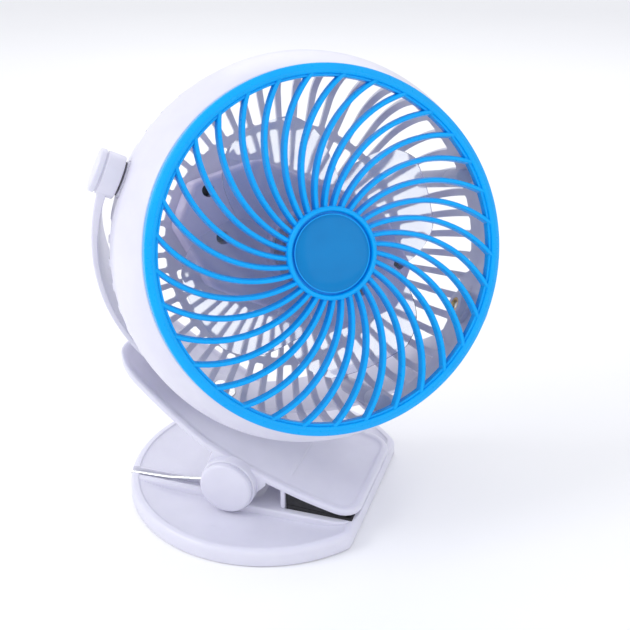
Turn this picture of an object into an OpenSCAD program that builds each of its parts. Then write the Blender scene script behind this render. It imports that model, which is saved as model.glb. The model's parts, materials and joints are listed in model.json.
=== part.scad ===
// Clip-on desk fan: a round fan head on a swivelling yoke, carried by a sprung clip
// whose lower jaw is also a free-standing base.
// Base frame: origin on the floor at the centre of the round base, +X along the clip
// towards its mouth, +Z up. Head frame: origin on the tilt axis, +Z out of the grille,
// +X along the tilt axis. Yoke frame: the same origin and +X, +Z along the swivel axis.

/* [Base and lower jaw] */
// Radius of the round base
base_r = 67; // [64:0.5:72]
// Distance from the base centre to the straight mouth edge
mouth_x = 53.5; // [50:0.5:56]
// Height of the base rim
rim_h = 8; // [6:0.5:9]
// Width of the raised base rim
rim_w = 6; // [4:0.5:8]
// Thickness of the base floor inside the rim
floor_t = 4.5; // [3:0.5:5]
// Half width of the clip at its ears
jaw_half_w = 33; // [31:0.5:34]

/* [Clip pivot] */
// Height of the clip pivot above the floor
pivot_z = 18.5; // [17:0.5:20]
// Position of the clip pivot along the clip
pivot_x = -6.6; // [-8:0.1:-5]
// Radius of the steel pivot pin
pin_r = 2; // [1.5:0.1:2.5]
// Radius of the round pivot caps
cap_r = 12.5; // [11:0.5:13]
// Radius of the spring wire
wire_r = 0.9; // [0.7:0.1:1.1]
// Number of turns in the torsion spring
spring_turns = 4; // [2:1:4]

/* [Upper jaw] */
// Radius of the curve that the upper jaw plate follows
jaw_curve_r = 220; // [200:5:240]
// Thickness of the upper jaw plate
jaw_t = 3.2; // [2.8:0.1:3.6]
// Distance from the base centre to the tip of the handle
handle_x = 65; // [60:1:70]
// Half width of the handle at its tip
handle_half_w = 28; // [26:0.5:31]

/* [Yoke] */
// Lean of the swivel axis towards the clip mouth
swivel_lean = 28.3; // [26:0.1:31]
// Swivel of the yoke about its foot in the stored pose
swivel_angle = 24.8; // [0:0.1:45]
// Tilt of the head from facing along the swivel axis in the stored pose
tilt_angle = 57.3; // [0:0.1:90]
// Distance from the jaw seat to the tilt axis
yoke_h = 92.8; // [92.5:0.1:95]
// Inner radius of the yoke band
yoke_ri = 88.1; // [87.6:0.1:88.6]
// Thickness of the yoke band
yoke_t = 2.6; // [2.4:0.1:3]
// Width of the yoke band at its ends
yoke_w = 14.8; // [13:0.1:16]
// How much wider the band is halfway down its arms
yoke_flare = 14; // [8:0.5:18]

/* [Fan head] */
// Radius of the coloured front ring
ring_r = 75; // [74:0.5:76]
// Distance from the tilt axis to the front ring
ring_z = 35; // [34:0.5:36]
// Largest radius of the head
drum_r = 83.5; // [82:0.1:83.8]
// Distance from the tilt axis to the rear face
rear_z = 31; // [30:0.5:32]
// Wall thickness of the two shells
wall = 2.2; // [1.8:0.1:2.6]
// Number of curved ribs in the front grille
rib_count = 33; // [24:1:36]
// Width of a front grille rib
rib_w = 2.6; // [2.2:0.1:3]
// Number of radial slots in the rear grille
slot_count = 52; // [44:4:60]
// Radius of the impeller
impeller_r = 57; // [50:1:62]
// Number of impeller blades
blade_count = 4; // [3:1:5]
// Pitch of the impeller blades
blade_pitch = 24; // [20:1:26]

/* [Power] */
// Length of the battery cell
cell_l = 65; // [65:0.1:66]
// Diameter of the battery cell
cell_d = 18.4; // [18:0.1:18.6]

/* [Hidden] */
$fn = 96;

white = "#e9e7f2";
blue = "#0fa3ee";
steel = "#c9ccd2";
black = "#26262a";
clear = "#d6deeaa0";

gap = 0.3;          // clearance between pieces that move past each other
touch = 0.05;       // clearance between pieces that only lie against each other
run = 0.05;         // radial clearance of a running fit

// Upper jaw curve: a circle in the XZ plane, centred above the clip
seat_x = -24;
seat_z = 42.7;
seat_drop = 1.5;    // height of the swivel seat above the plate
curve_lean = 31;    // slope of the plate under the seat, in degrees
curve_x = seat_x + jaw_curve_r * sin(curve_lean);
curve_z = seat_z - seat_drop + jaw_curve_r * cos(curve_lean);
function plate_z(x, depth = 0) = curve_z - sqrt(pow(jaw_curve_r + depth, 2) - pow(x - curve_x, 2));

ear_in = 31;        // inner face of the upper jaw's ears
ear_out = 36.4;     // outer face of the ears' round bosses
ear_r = 13.2;       // radius of those bosses
lug_out = ear_in - gap;
lug_t = 4;
lug_r = 8.2;
cap_out = 40.1;     // outer face of the pivot caps

jaw_corner = 10;    // corner radius at the mouth
handle_corner = 12; // corner radius at the handle tip
lip_w = 3.2;        // raised edge round the upper jaw
lip_h = 1.1;
platform_half_w = 34.5;
pad_x0 = 20;
pad_x1 = 51;
pad_half_w = 31;
groove_y = -23.5;   // line of the spring leg in the base
leg_z = 6;

// Head profile
drum_z = 5;         // where the head is widest
dome_z = -8;        // where the rear dome begins
split_z = 2;        // parting line of the two shells
lip_z = 30.6;       // front edge of the front shell
rear_r = 69;        // radius of the flat rear face
function front_r(z) = drum_r - (drum_r - ring_r - 0.3) * pow(max(0, z - drum_z) / (lip_z - drum_z), 2);
function back_r(z) = rear_r + (drum_r - rear_r) * sqrt(max(0, 1 - pow((dome_z - z) / (rear_z + dome_z), 2)));

pod_half_l = 54;    // half length of the motor pod along the tilt axis
pod_half_h = 30;
pod_z = -8.6;       // front face of the pod
panel_z = -rear_z + wall;
can_r = 12.2;
can_z0 = -7.5;
can_z1 = 16;
shaft_r = 1;
shaft_z0 = -8.6;
shaft_z1 = 27.5;
hub_r = 16.5;
hub_z0 = 8;
hub_z1 = 28.5;
cell_y = 15;
cell_z = -19.5;
board_y = -14.5;
board_z = -24.5;
button_y = -17;
socket_x = 24;
light_x = -16;
screw_spots = [45, 135, 225, 315];
screw_r = 74;       // circle of the shell screws
pod_screw_spots = [[-34, -8], [34, -8], [-47, 9], [47, 9]];
door_half_l = 38;
door_half_h = 12;

eye_in = 85;        // inner face of the yoke's pivot eyes
eye_out = 93;
eye_r = 9.2;
boss_face = 84.1;   // flats on the front shell that the tilt washers lie on

module at_yoke() {
    translate([seat_x, 0, seat_z])
        rotate([0, swivel_lean, 0])
            rotate([0, 0, swivel_angle])
                translate([0, 0, yoke_h])
                    children();
}

module at_head() {
    at_yoke() rotate([tilt_angle, 0, 0]) children();
}

module cylinder_y(r, y0, y1) {
    translate([0, y1, 0]) rotate([90, 0, 0]) cylinder(r = r, h = y1 - y0);
}

module cylinder_x(r, x0, x1) {
    translate([x0, 0, 0]) rotate([0, 90, 0]) cylinder(r = r, h = x1 - x0);
}

module at_pivot() {
    translate([pivot_x, 0, pivot_z]) children();
}

// ---------- lower jaw and base ----------

module base_plan(inset = 0) {
    intersection() {
        circle(r = base_r - inset, $fn = 180);
        translate([-100, -100]) square([100 + mouth_x - inset, 200]);
    }
}

module rim_section() {
    edge = 2;
    intersection() {
        rotate_extrude($fn = 180)
            polygon(concat(
                [[0, 0], [base_r - 0.8, 0], [base_r, 0.8]],
                [for (a = [0:15:90]) [base_r - edge + edge * cos(a), rim_h - edge + edge * sin(a)]],
                [[base_r - rim_w, rim_h - 0.6], [base_r - rim_w - 4, floor_t + 0.6], [0, floor_t]]
            ));
        translate([-100, -100, -1]) cube([100 + mouth_x, 200, 50]);
    }
}

module platform_plan() {
    hull() {
        translate([-8, -platform_half_w]) square([10, 2 * platform_half_w]);
        for (s = [-1, 1])
            translate([mouth_x - jaw_corner, s * (platform_half_w - jaw_corner)])
                circle(r = jaw_corner, $fn = 32);
    }
}

module spring_leg_slot() {
    translate([-base_r - 1, groove_y - 2.6, leg_z - 1.6]) cube([base_r - 5, 5.2, 10]);
}

module lower_jaw() {
    color(white)
        difference() {
            union() {
                rim_section();
                linear_extrude(rim_h) platform_plan();
                for (s = [-1, 1])
                    translate([-base_r + 4, groove_y + s * 3.4 - 0.8, floor_t - 1])
                        cube([base_r - 12, 1.6, 4.2]);
                for (s = [-1, 1]) jaw_lug(s);
            }
            spring_leg_slot();
            translate([pivot_x - 13, -lug_out + lug_t, floor_t + 0.5])
                cube([26, 2 * (lug_out - lug_t), 20]);
            at_pivot() cylinder_y(pin_r, -50, 50);
            translate([pad_x0 - 0.2, -pad_half_w - 0.2, rim_h - 1.5])
                cube([pad_x1 - pad_x0 + 0.4, 2 * pad_half_w + 0.4, 5]);
            ear_relief();
        }
}

module jaw_lug(side) {
    y0 = side > 0 ? lug_out - lug_t : -lug_out;
    at_pivot() cylinder_y(lug_r, y0, y0 + lug_t);
    translate([pivot_x - lug_r, y0, 1]) cube([2 * lug_r, lug_t, pivot_z - 1]);
}

module ear_relief() {
    at_pivot()
        for (s = [-1, 1])
            translate([0, s * (ear_in + 10 - gap), 0])
                cylinder_y(ear_r + 0.7, -10, 10);
}

module lower_pad() {
    color(black)
        translate([0, pad_half_w, 0]) rotate([90, 0, 0]) linear_extrude(2 * pad_half_w)
            polygon([
                [pad_x0, rim_h - 1.5], [pad_x1, rim_h - 1.5],
                [pad_x1, pad_split(pad_x1)], [pad_x0, pad_split(pad_x0)]
            ]);
}

// The surface where the two pads meet
function pad_split(x) = rim_h + 2.2 - 1.3 * (x - pad_x0) / (pad_x1 - pad_x0);

// ---------- clip pivot ----------

module pivot_pin() {
    color(steel) at_pivot() cylinder_y(pin_r - run, -ear_out - 1.5, ear_out + 1.5);
}

module pivot_cap() {
    edge = 1.2;
    rotate([90, 0, 0])
        difference() {
            rotate_extrude()
                polygon(concat(
                    [[0, ear_out + touch], [cap_r - 0.6, ear_out + touch], [cap_r, ear_out + 0.6]],
                    [for (a = [0:22.5:90])
                        [cap_r - edge + edge * cos(a), cap_out - 0.5 - edge + edge * sin(a)]],
                    [[cap_r - 4, cap_out - 0.15], [0, cap_out]]
                ));
            cylinder(r = pin_r - run, h = ear_out + 1.5);
        }
}

module near_pivot_cap() { color(white) at_pivot() pivot_cap(); }
module far_pivot_cap() { color(white) at_pivot() mirror([0, 1, 0]) pivot_cap(); }

// Torsion spring: a coil round the pin, one leg along the base, one under the handle
coil_r = 6;
coil_y0 = groove_y;
coil_pitch = 2;
coil_steps = 16;
low_leg_x = -base_r + 4;
high_leg = 38;
high_leg_angle = 148.5;

function coil_point(t) = [
    pivot_x + coil_r * cos(t), coil_y0 + coil_pitch * (t - coil_start) / 360, pivot_z + coil_r * sin(t)
];
coil_start = -101;
coil_end = 360 * spring_turns + high_leg_angle - 90;

function spring_path() = concat(
    [[low_leg_x, coil_y0, leg_z], [low_leg_x + 20, coil_y0, leg_z + 0.9]],
    [for (i = [0:round((coil_end - coil_start) / 360 * coil_steps)])
        coil_point(coil_start + i * 360 / coil_steps)],
    [coil_point(coil_end) + high_leg * [cos(high_leg_angle), 0, sin(high_leg_angle)]]
);

function unit(v) = v / norm(v);
function tangent(p, i) = unit(p[min(i + 1, len(p) - 1)] - p[max(i - 1, 0)]);

module tube_along(path, r, sides = 8) {
    across = [0, 1, 0];
    rings = [for (i = [0:len(path) - 1])
        let (d = tangent(path, i), u = unit(cross(d, across)), v = cross(u, d))
            for (k = [0:sides - 1])
                path[i] + r * (cos(360 * k / sides) * u + sin(360 * k / sides) * v)];
    last = (len(path) - 1) * sides;
    polyhedron(rings, concat(
        [[for (k = [0:sides - 1]) k]],
        [for (i = [0:len(path) - 2], k = [0:sides - 1])
            let (a = i * sides + k, b = i * sides + (k + 1) % sides)
                [a, a + sides, b + sides, b]],
        [[for (k = [sides - 1:-1:0]) last + k]]
    ));
}

module torsion_spring() {
    color(steel) tube_along(spring_path(), wire_r);
}

// ---------- upper jaw ----------

module jaw_plan(inset = 0) {
    hull() {
        for (s = [-1, 1]) {
            translate([mouth_x - jaw_corner, s * (jaw_half_w - jaw_corner)])
                circle(r = jaw_corner - inset, $fn = 32);
            translate([-20, s * (jaw_half_w - 4)]) circle(r = 4 - inset, $fn = 16);
            translate([handle_corner - handle_x, s * (handle_half_w - handle_corner)])
                circle(r = handle_corner - inset, $fn = 32);
        }
    }
}

// A curved sheet that follows the jaw's curve, from depth d0 down to depth d1
module jaw_sheet(d0, d1) {
    translate([curve_x, 60, curve_z]) rotate([90, 0, 0])
        difference() {
            cylinder(r = jaw_curve_r + d1, h = 120, $fn = 360);
            translate([0, 0, -1]) cylinder(r = jaw_curve_r + d0, h = 122, $fn = 360);
        }
}

module jaw_skin() {
    intersection() {
        jaw_sheet(0, jaw_t);
        translate([0, 0, -5]) linear_extrude(120) jaw_plan();
    }
}

module jaw_dish() {
    intersection() {
        jaw_sheet(-20, lip_h);
        translate([0, 0, -5]) linear_extrude(120) jaw_plan(lip_w);
    }
}

// Side webs under the plate, from the notch to the pads, and the round ears
module ear(side) {
    y0 = side > 0 ? ear_in : -jaw_half_w;
    boss_y0 = side > 0 ? ear_in : -ear_out;
    under = 1.2;
    translate([0, y0 + (jaw_half_w - ear_in), 0]) rotate([90, 0, 0])
        linear_extrude(jaw_half_w - ear_in)
            polygon([
                [-14.5, plate_z(-14.5, under)], [11, plate_z(11, under)], [10.5, 19.6],
                [pivot_x + ear_r, pivot_z - 3], [pivot_x, pivot_z], [pivot_x - ear_r + 1.4, pivot_z + 6]
            ]);
    at_pivot() cylinder_y(ear_r, boss_y0, boss_y0 + ear_out - ear_in);
}

module upper_jaw() {
    color(white)
        difference() {
            union() {
                difference() {
                    jaw_skin();
                    jaw_dish();
                }
                intersection() {
                    for (s = [-1, 1]) ear(s);
                    jaw_envelope();
                }
                swivel_seat();
                pad_stop();
            }
            at_pivot() cylinder_y(pin_r, -50, 50);
            at_seat() translate([0, 0, -20]) cylinder(r = swivel_r, h = 40);
            at_seat() translate([0, 0, -9 - 20]) cylinder(r = 7.2, h = 20);
        }
}

// Everything below the plate's upper face
module jaw_envelope() {
    translate([curve_x, 60, curve_z]) rotate([90, 0, 0])
        difference() {
            cylinder(r = jaw_curve_r + 60, h = 120, $fn = 360);
            translate([0, 0, -1]) cylinder(r = jaw_curve_r + lip_h, h = 122, $fn = 360);
        }
}

module pad_stop() {
    intersection() {
        translate([pad_x0 - 2.4, -jaw_half_w + 0.6, rim_h + 0.8]) cube([2, 2 * jaw_half_w - 1.2, 12]);
        jaw_envelope();
        translate([0, 0, -5]) linear_extrude(120) jaw_plan();
    }
}

swivel_r = 3;

module at_seat() {
    translate([seat_x, 0, seat_z]) rotate([0, swivel_lean, 0]) children();
}

module swivel_seat() {
    at_seat() translate([0, 0, -9]) cylinder(r = 13, h = 9);
}

module upper_pad() {
    roof = jaw_t + touch;
    color(black)
        difference() {
            translate([0, pad_half_w, 0]) rotate([90, 0, 0]) linear_extrude(2 * pad_half_w)
                polygon([
                    [pad_x0, pad_split(pad_x0) + gap], [pad_x1 - 3, pad_split(pad_x1 - 3) + gap],
                    [pad_x1 - 3, 20], [pad_x0, 20]
                ]);
            translate([curve_x, 60, curve_z]) rotate([90, 0, 0])
                cylinder(r = jaw_curve_r + roof, h = 120, $fn = 360);
        }
}

// ---------- swivel ----------

module swivel_screw() {
    color(steel) at_seat() {
        translate([0, 0, -12]) cylinder(r = swivel_r - run, h = 12 + 3.6);
        translate([0, 0, 3.6]) cylinder(r = 5.4, h = 1.5);
    }
}

module swivel_washer() {
    color(black) at_seat() translate([0, 0, touch])
        difference() {
            cylinder(r = 11, h = 0.7);
            translate([0, 0, -1]) cylinder(r = swivel_r + 0.1, h = 3);
        }
}

module swivel_nut() {
    color(steel) at_seat() translate([0, 0, -9 - touch - 2.4])
        difference() {
            cylinder(r = 5.6, h = 2.4, $fn = 6);
            translate([0, 0, -1]) cylinder(r = swivel_r - run, h = 5);
        }
}

// ---------- yoke ----------

module yoke() {
    foot_z = -yoke_h + touch + 0.7 + gap;
    ro = yoke_ri + yoke_t;
    color(white) at_yoke()
        difference() {
            union() {
                intersection() {
                    translate([0, 60, 0]) rotate([90, 0, 0])
                        difference() {
                            cylinder(r = ro, h = 120, $fn = 240);
                            translate([0, 0, -1]) cylinder(r = yoke_ri, h = 122, $fn = 240);
                        }
                    translate([0, 0, -100]) linear_extrude(100) polygon(band_plan());
                }
                left_eye();
                cylinder_x(plain_eye_r, eye_in, plain_eye_out);
                translate([0, 0, foot_z]) cylinder(r = 11, h = -yoke_ri - foot_z - 0.3);
            }
            translate([0, 0, -yoke_h - 5]) cylinder(r = swivel_r + run, h = 20);
            translate([0, 0, -yoke_h + 3.6 - gap]) cylinder(r = 5.4 + gap, h = 8);
            cylinder_x(tilt_r + run, -100, 100);
            cylinder_x(tilt_head_r + gap, -eye_out - 5, -eye_out + 3.2);
            cylinder_x(tilt_head_r + gap, plain_eye_out - 3.4, plain_eye_out + 5);
        }
}

tilt_r = 2.5;
tilt_head_r = 5;

// The band seen along its swivel axis: straight in front, wider behind halfway down each arm
function ease(t, t0, t1) = let (u = max(0, min(1, (t - t0) / (t1 - t0)))) u * u * (3 - 2 * u);
function band_back(t) = yoke_w / 2 + yoke_flare * ease(t, 4, 36) * (1 - 0.8 * ease(t, 46, 88));
function band_plan() = let (ts = [6:4:174]) concat(
    [[-95, -yoke_w / 2], [-95, yoke_w / 2]],
    [for (t = ts) [-yoke_ri * cos(t), band_back(min(t, 180 - t))]],
    [[95, yoke_w / 2], [95, -yoke_w / 2]]
);

plain_eye_r = 7.2;      // the other arm ends plain, flush with the band
plain_eye_out = 90.4;

module left_eye() {
    cylinder_x(eye_r, -eye_out, -eye_in);
    translate([0, yoke_w / 2, 0]) rotate([90, 0, 0])
        linear_extrude(yoke_w)
            polygon([for (p = arm_root()) [-p[0], p[1]]]);
}

// The band thickens towards its pivot eye
function arm_root() = let (sweep = 30, ro = yoke_ri + yoke_t) concat(
    [for (t = [0:5:sweep]) (yoke_ri + 0.2) * [cos(t), -sin(t)]],
    [for (t = [sweep:-5:0]) (ro + 1.6 * pow(1 - t / sweep, 2)) * [cos(t), -sin(t)]]
);

module yoke_cap() {
    edge = 1.2;
    rotate([0, 90, 0])
        union() {
            rotate_extrude()
                polygon(concat(
                    [[0, eye_out + touch], [eye_r, eye_out + touch]],
                    [for (a = [0:22.5:90])
                        [eye_r - edge + edge * cos(a), eye_out + 2.7 - edge + edge * sin(a)]],
                    [[0, eye_out + 2.9]]
                ));
            translate([0, 0, eye_out - 0.6])
                difference() {
                    cylinder(r = tilt_head_r + gap - touch, h = 0.8);
                    translate([0, 0, -1]) cylinder(r = 3.6, h = 3);
                }
        }
}

module left_yoke_cap() { color(white) at_yoke() mirror([1, 0, 0]) yoke_cap(); }
module right_yoke_cap() {
    color(white) at_yoke() cylinder_x(tilt_head_r + gap - touch, plain_eye_out - 1.1, plain_eye_out - 0.1);
}

module tilt_washers() {
    color(black) at_yoke()
        for (s = [0, 180]) rotate([0, 0, s])
            difference() {
                cylinder_x(7.2, boss_face + 0.25, eye_in - touch);
                cylinder_x(tilt_r + 0.1, 80, 90);
            }
}

// ---------- head shells ----------

module front_shell() {
    zs = [for (i = [0:8]) drum_z + (lip_z - drum_z) * i / 8];
    color(white) at_head()
        difference() {
            union() {
                rotate([0, 0, seam_angle]) rotate_extrude($fn = 180)
                    polygon(concat(
                        [[drum_r - wall, split_z], [drum_r, split_z]],
                        [for (z = zs) [front_r(z), z]],
                        [[72.9, lip_z]],
                        [for (i = [7:-1:0]) [front_r(zs[i]) - wall, zs[i] - 0.6]]
                    ));
                for (s = [0, 180]) rotate([0, 0, s]) {
                    cylinder_x(pivot_boss_r, 79, boss_face);
                    cylinder_x(6.2, 76, 80);
                }
                for (a = screw_spots) rotate([0, 0, a]) screw_column();
            }
            for (s = [0, 180]) rotate([0, 0, s]) cylinder_x(insert_r, 72, 90);
            for (a = screw_spots) rotate([0, 0, a])
                translate([screw_r, 0, split_z - 1]) cylinder(r = shell_screw_r, h = 12);
        }
}

insert_r = 3.6;
pivot_boss_r = 7.8;
shell_screw_r = 1.4;
seam_angle = 20;    // start of the turned shell, clear of its bosses

screw_seat = split_z - 8;   // where the heads of the shell screws rest

module screw_column() {
    translate([screw_r, 0, split_z]) cylinder(r = 4, h = 14);
    translate([screw_r, -1.2, split_z]) cube([7, 2.4, 14]);
}

module rear_profile(inset) {
    zs = [for (i = [0:8]) -rear_z + inset + (rear_z + dome_z - inset) * i / 8];
    polygon(concat(
        [[0, -rear_z + inset]],
        [for (z = zs) [back_r(z) - inset, z]],
        [[drum_r - inset, split_z], [0, split_z]]
    ));
}

// The slots widen outwards, so the bars between them keep nearly the same width
function slot_half(r) = PI * r / slot_count - 0.7 - 0.02 * (r - slot_r0);

slot_r0 = 34;       // inner end of the inner slots
band_r0 = 52.8;     // the plain band between the two rings of slots
band_r1 = 56.2;
slot_top = -4;      // the outer slots run over the dome and up the side to here
slot_low = -11;     // shorter slots under the pivot bosses

module slot(r0, r1, top) {
    translate([0, 0, -rear_z - 5]) linear_extrude(rear_z + 5 + top)
        polygon([[r0, -slot_half(r0)], [r1, -slot_half(r1)], [r1, slot_half(r1)], [r0, slot_half(r0)]]);
}

// Two rings of radial slots that keep clear of the pod
module rear_slots() {
    difference() {
        for (i = [0:slot_count - 1]) let (a = i * 360 / slot_count) rotate([0, 0, a]) {
            slot(band_r1, 95, abs(sin(a)) < 0.16 ? slot_low : slot_top);
            slot(slot_r0, band_r0, -rear_z + 8);
        }
        translate([0, 0, -rear_z - 6]) linear_extrude(rear_z + 8) pod_plan(3.5);
    }
}

module rear_shell() {
    color(white) at_head()
        difference() {
            union() {
                difference() {
                    rotate([0, 0, 900 / slot_count]) rotate_extrude($fn = 180) rear_profile(0);
                    rotate([0, 0, 900 / slot_count]) rotate_extrude($fn = 180) rear_profile(wall);
                    translate([0, 0, split_z - touch]) cylinder(r = 100, h = 5);
                    rear_slots();
                }
                for (p = pod_screw_spots)
                    translate([p[0], p[1], panel_z - 0.5]) cylinder(r = 3, h = 8.5);
                for (a = screw_spots) rotate([0, 0, a]) rear_column();
            }
            for (s = [0, 180]) rotate([0, 0, s]) cylinder_x(pivot_boss_r + gap, 70, 90);
            for (a = screw_spots) rotate([0, 0, a]) {
                translate([screw_r, 0, -rear_z - 1]) cylinder(r = shell_screw_r + 0.2, h = 40);
                translate([screw_r, 0, -rear_z - 1]) cylinder(r = 3, h = rear_z + 1 + screw_seat);
            }
            for (p = pod_screw_spots)
                translate([p[0], p[1], panel_z + 0.5]) cylinder(r = 1.1, h = 12);
            translate([-door_half_l - 0.2, cell_y - door_half_h - 0.2, -rear_z - 1])
                cube([2 * door_half_l + 0.4, 2 * door_half_h + 0.4, 1 + wall + 1]);
            translate([0, button_y, -rear_z - 1]) cylinder(r = 5 + gap, h = 5);
            translate([socket_x - 4.6, button_y - 2, -rear_z - 1]) cube([9.2, 4, 5]);
            translate([light_x, button_y, -rear_z - 1]) cylinder(r = 1.6, h = 5);
        }
}

module rear_column() {
    intersection() {
        union() {
            translate([screw_r, 0, -rear_z]) cylinder(r = 4, h = rear_z + split_z - touch);
            translate([screw_r, -1.2, -rear_z + 6]) cube([8, 2.4, rear_z + split_z - 6 - touch]);
        }
        rotate_extrude($fn = 180) rear_profile(0.2);
    }
}

module shell_screws() {
    color(steel) at_head()
        for (a = screw_spots) rotate([0, 0, a]) translate([screw_r, 0, 0]) {
            translate([0, 0, screw_seat]) cylinder(r = shell_screw_r, h = 18);
            translate([0, 0, screw_seat - 1.8]) difference() {
                cylinder(r = 2.6, h = 1.8);
                translate([-1.8, -0.4, -1]) cube([3.6, 0.8, 1.7]);
                translate([-0.4, -1.8, -1]) cube([0.8, 3.6, 1.7]);
            }
        }
}

// ---------- front grille ----------

rib_r0 = 18.4;
rib_r1 = 70.6;
rib_arc_r = 50;
rib_skew = -2.4;    // how far the ribs' arcs start to the side of the centre
rib_phase = 1.8;

module rib_plan() {
    intersection() {
        difference() {
            circle(r = rib_r1, $fn = 120);
            circle(r = rib_r0);
        }
        translate([rib_skew, -rib_arc_r])
            difference() {
                circle(r = rib_arc_r + rib_w / 2, $fn = 120);
                circle(r = rib_arc_r - rib_w / 2, $fn = 120);
            }
        translate([0, -100]) square([100, 110]);
    }
}

module front_grille() {
    color(blue) at_head() {
        rotate_extrude($fn = 180)
            polygon([
                [72, ring_z - 7.5], [69.6, ring_z - 3.5],
                [69.6, ring_z], [70.6, ring_z + 1.2], [72.2, ring_z + 1.7],
                [73.6, ring_z + 1.2], [ring_r, ring_z - 0.6], [ring_r, lip_z + touch],
                [72.7, lip_z + touch], [72.7, ring_z - 7.5]
            ]);
        translate([0, 0, ring_z - 3]) linear_extrude(4)
            for (i = [0:rib_count - 1]) rotate([0, 0, rib_phase + i * 360 / rib_count]) rib_plan();
        translate([0, 0, ring_z - 2])
            difference() {
                rotate_extrude()
                    polygon([[0, 0], [19, 0], [19, 3.6], [18.4, 4.6], [17.4, 4.6], [16.7, 3.2], [0, 3.2]]);
                translate([0, 0, -1]) cylinder(r = 4, h = 6);
            }
    }
}

module hub_cap() {
    base_z = ring_z - 2 + 3.2 + touch;
    color(blue) at_head() {
        rotate_extrude()
            polygon(concat(
                [[0, base_z], [16.5, base_z], [16.5, base_z + 0.5]],
                [for (r = [16.2:-3.24:0]) [r, base_z + 0.5 + 1.5 * sqrt(1 - pow(r / 16.3, 2))]]
            ));
        translate([0, 0, base_z - 4]) cylinder(r = 3.9, h = 4.2);
    }
}

// ---------- tilt pivots ----------

module tilt_screws() {
    color(steel) at_head() {
        rotate([0, 0, 180]) tilt_screw(eye_out - 3.1);
        tilt_screw(plain_eye_out - 3.3);
    }
}

module tilt_screw(seat) {
    cylinder_x(tilt_r, 77, seat + 0.1);
    difference() {
        cylinder_x(tilt_head_r, seat, seat + 2.1);
        translate([seat + 1.3, -3, -0.5]) cube([2, 6, 1]);
    }
}

module tilt_inserts() {
    color("#c8a24a") at_head()
        for (s = [0, 180]) rotate([0, 0, s])
            difference() {
                cylinder_x(insert_r, 76.2, boss_face - 0.1);
                cylinder_x(tilt_r, 70, 90);
            }
}

// ---------- motor pod ----------

module pod_plan(grow = 0) {
    l = pod_half_l + grow;
    h = pod_half_h + grow;
    shoulder = l * 0.56;
    flat = h * 0.34;
    polygon([
        [l, -flat], [l, flat], [shoulder, h], [-shoulder, h],
        [-l, flat], [-l, -flat], [-shoulder, -h], [shoulder, -h]
    ]);
}

module motor_pod() {
    color("#c9c7d6") at_head()
        difference() {
            union() {
                translate([0, 0, panel_z + touch])
                    linear_extrude(pod_z - panel_z - touch) pod_plan();
                translate([0, 0, pod_z - 0.5]) cylinder(r = can_r + 3.4, h = 7);
            }
            translate([0, 0, panel_z - 1])
                linear_extrude(pod_z - panel_z - 1) pod_plan(-2);
            translate([0, 0, can_z0 - 2.5]) cylinder(r = can_r + touch, h = 30);
            translate([-cell_l / 2 - 4, cell_y, cell_z]) cylinder_x(cell_d / 2 + gap, 0, cell_l + 6);
            for (p = pod_screw_spots) {
                translate([p[0], p[1], -15.5]) cylinder(r = 2.8, h = 10);
            }
        }
    color("#c9c7d6") at_head()
        for (p = pod_screw_spots)
            translate([p[0], p[1], 0])
                difference() {
                    translate([0, 0, -19.8]) cylinder(r = 3.8, h = 10);
                    translate([0, 0, -30]) cylinder(r = 1.4, h = 30);
                    translate([0, 0, -17.5]) cylinder(r = 2.8, h = 10);
                }
}

module pod_screws() {
    color(steel) at_head()
        for (p = pod_screw_spots) translate([p[0], p[1], 0]) {
            translate([0, 0, -26]) cylinder(r = 1.1, h = 9);
            translate([0, 0, -17.4]) cylinder(r = 2.3, h = 1.6);
        }
}

module motor_can() {
    color("#55565c") at_head()
        difference() {
            translate([0, 0, can_z0]) cylinder(r = can_r, h = can_z1 - can_z0);
            translate([0, 0, can_z0 - 1]) cylinder(r = can_r - 1.2, h = can_z1 - can_z0);
            translate([0, 0, can_z1 - 3]) cylinder(r = 3, h = 5);
        }
}

module motor_end_cap() {
    color("#f2f0e6") at_head() translate([0, 0, can_z0 + 0.1])
        difference() {
            cylinder(r = can_r - 1.25, h = 2);
            translate([0, 0, -1]) cylinder(r = 2.2, h = 5);
        }
}

module bush(z0, h, r) {
    translate([0, 0, z0])
        difference() {
            cylinder(r = r, h = h);
            translate([0, 0, -1]) cylinder(r = shaft_r + run, h = h + 2);
        }
}

module front_bush() { color("#b9975a") at_head() bush(can_z1 - 1, 2.4, 3); }
module rear_bush() { color("#b9975a") at_head() bush(can_z0 + 0.1, 2, 2.2); }

module motor_shaft() {
    color(steel) at_head() translate([0, 0, shaft_z0]) cylinder(r = shaft_r, h = shaft_z1 - shaft_z0);
}

// ---------- impeller ----------

blade_phase = 47;

module blade_plan() {
    intersection() {
        circle(r = impeller_r, $fn = 120);
        hull() {
            translate([hub_r, 0]) circle(r = 10, $fn = 32);
            translate([impeller_r - 21, 0]) circle(r = 27, $fn = 48);
        }
    }
}

module impeller() {
    mid_z = 15;
    color(clear) at_head()
        difference() {
            union() {
                translate([0, 0, hub_z0]) cylinder(r = hub_r, h = hub_z1 - hub_z0);
                for (i = [0:blade_count - 1]) rotate([0, 0, blade_phase + i * 360 / blade_count])
                    intersection() {
                        linear_extrude(60, center = true) blade_plan();
                        translate([0, 0, mid_z]) rotate([blade_pitch, 0, 0])
                            translate([0, -60, -0.8]) cube([70, 120, 1.6]);
                    }
            }
            translate([0, 0, hub_z0 - 30]) cylinder(r = hub_r - 1.8, h = 30 + hub_z1 - hub_z0 - 4);
            translate([0, 0, hub_z0]) cylinder(r = 3, h = 30);
        }
}

module impeller_insert() {
    color("#b08a5a") at_head() translate([0, 0, hub_z1 - 8])
        difference() {
            cylinder(r = 3, h = 8);
            translate([0, 0, -1]) cylinder(r = shaft_r, h = 12);
        }
}

// ---------- battery and electronics ----------

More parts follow.
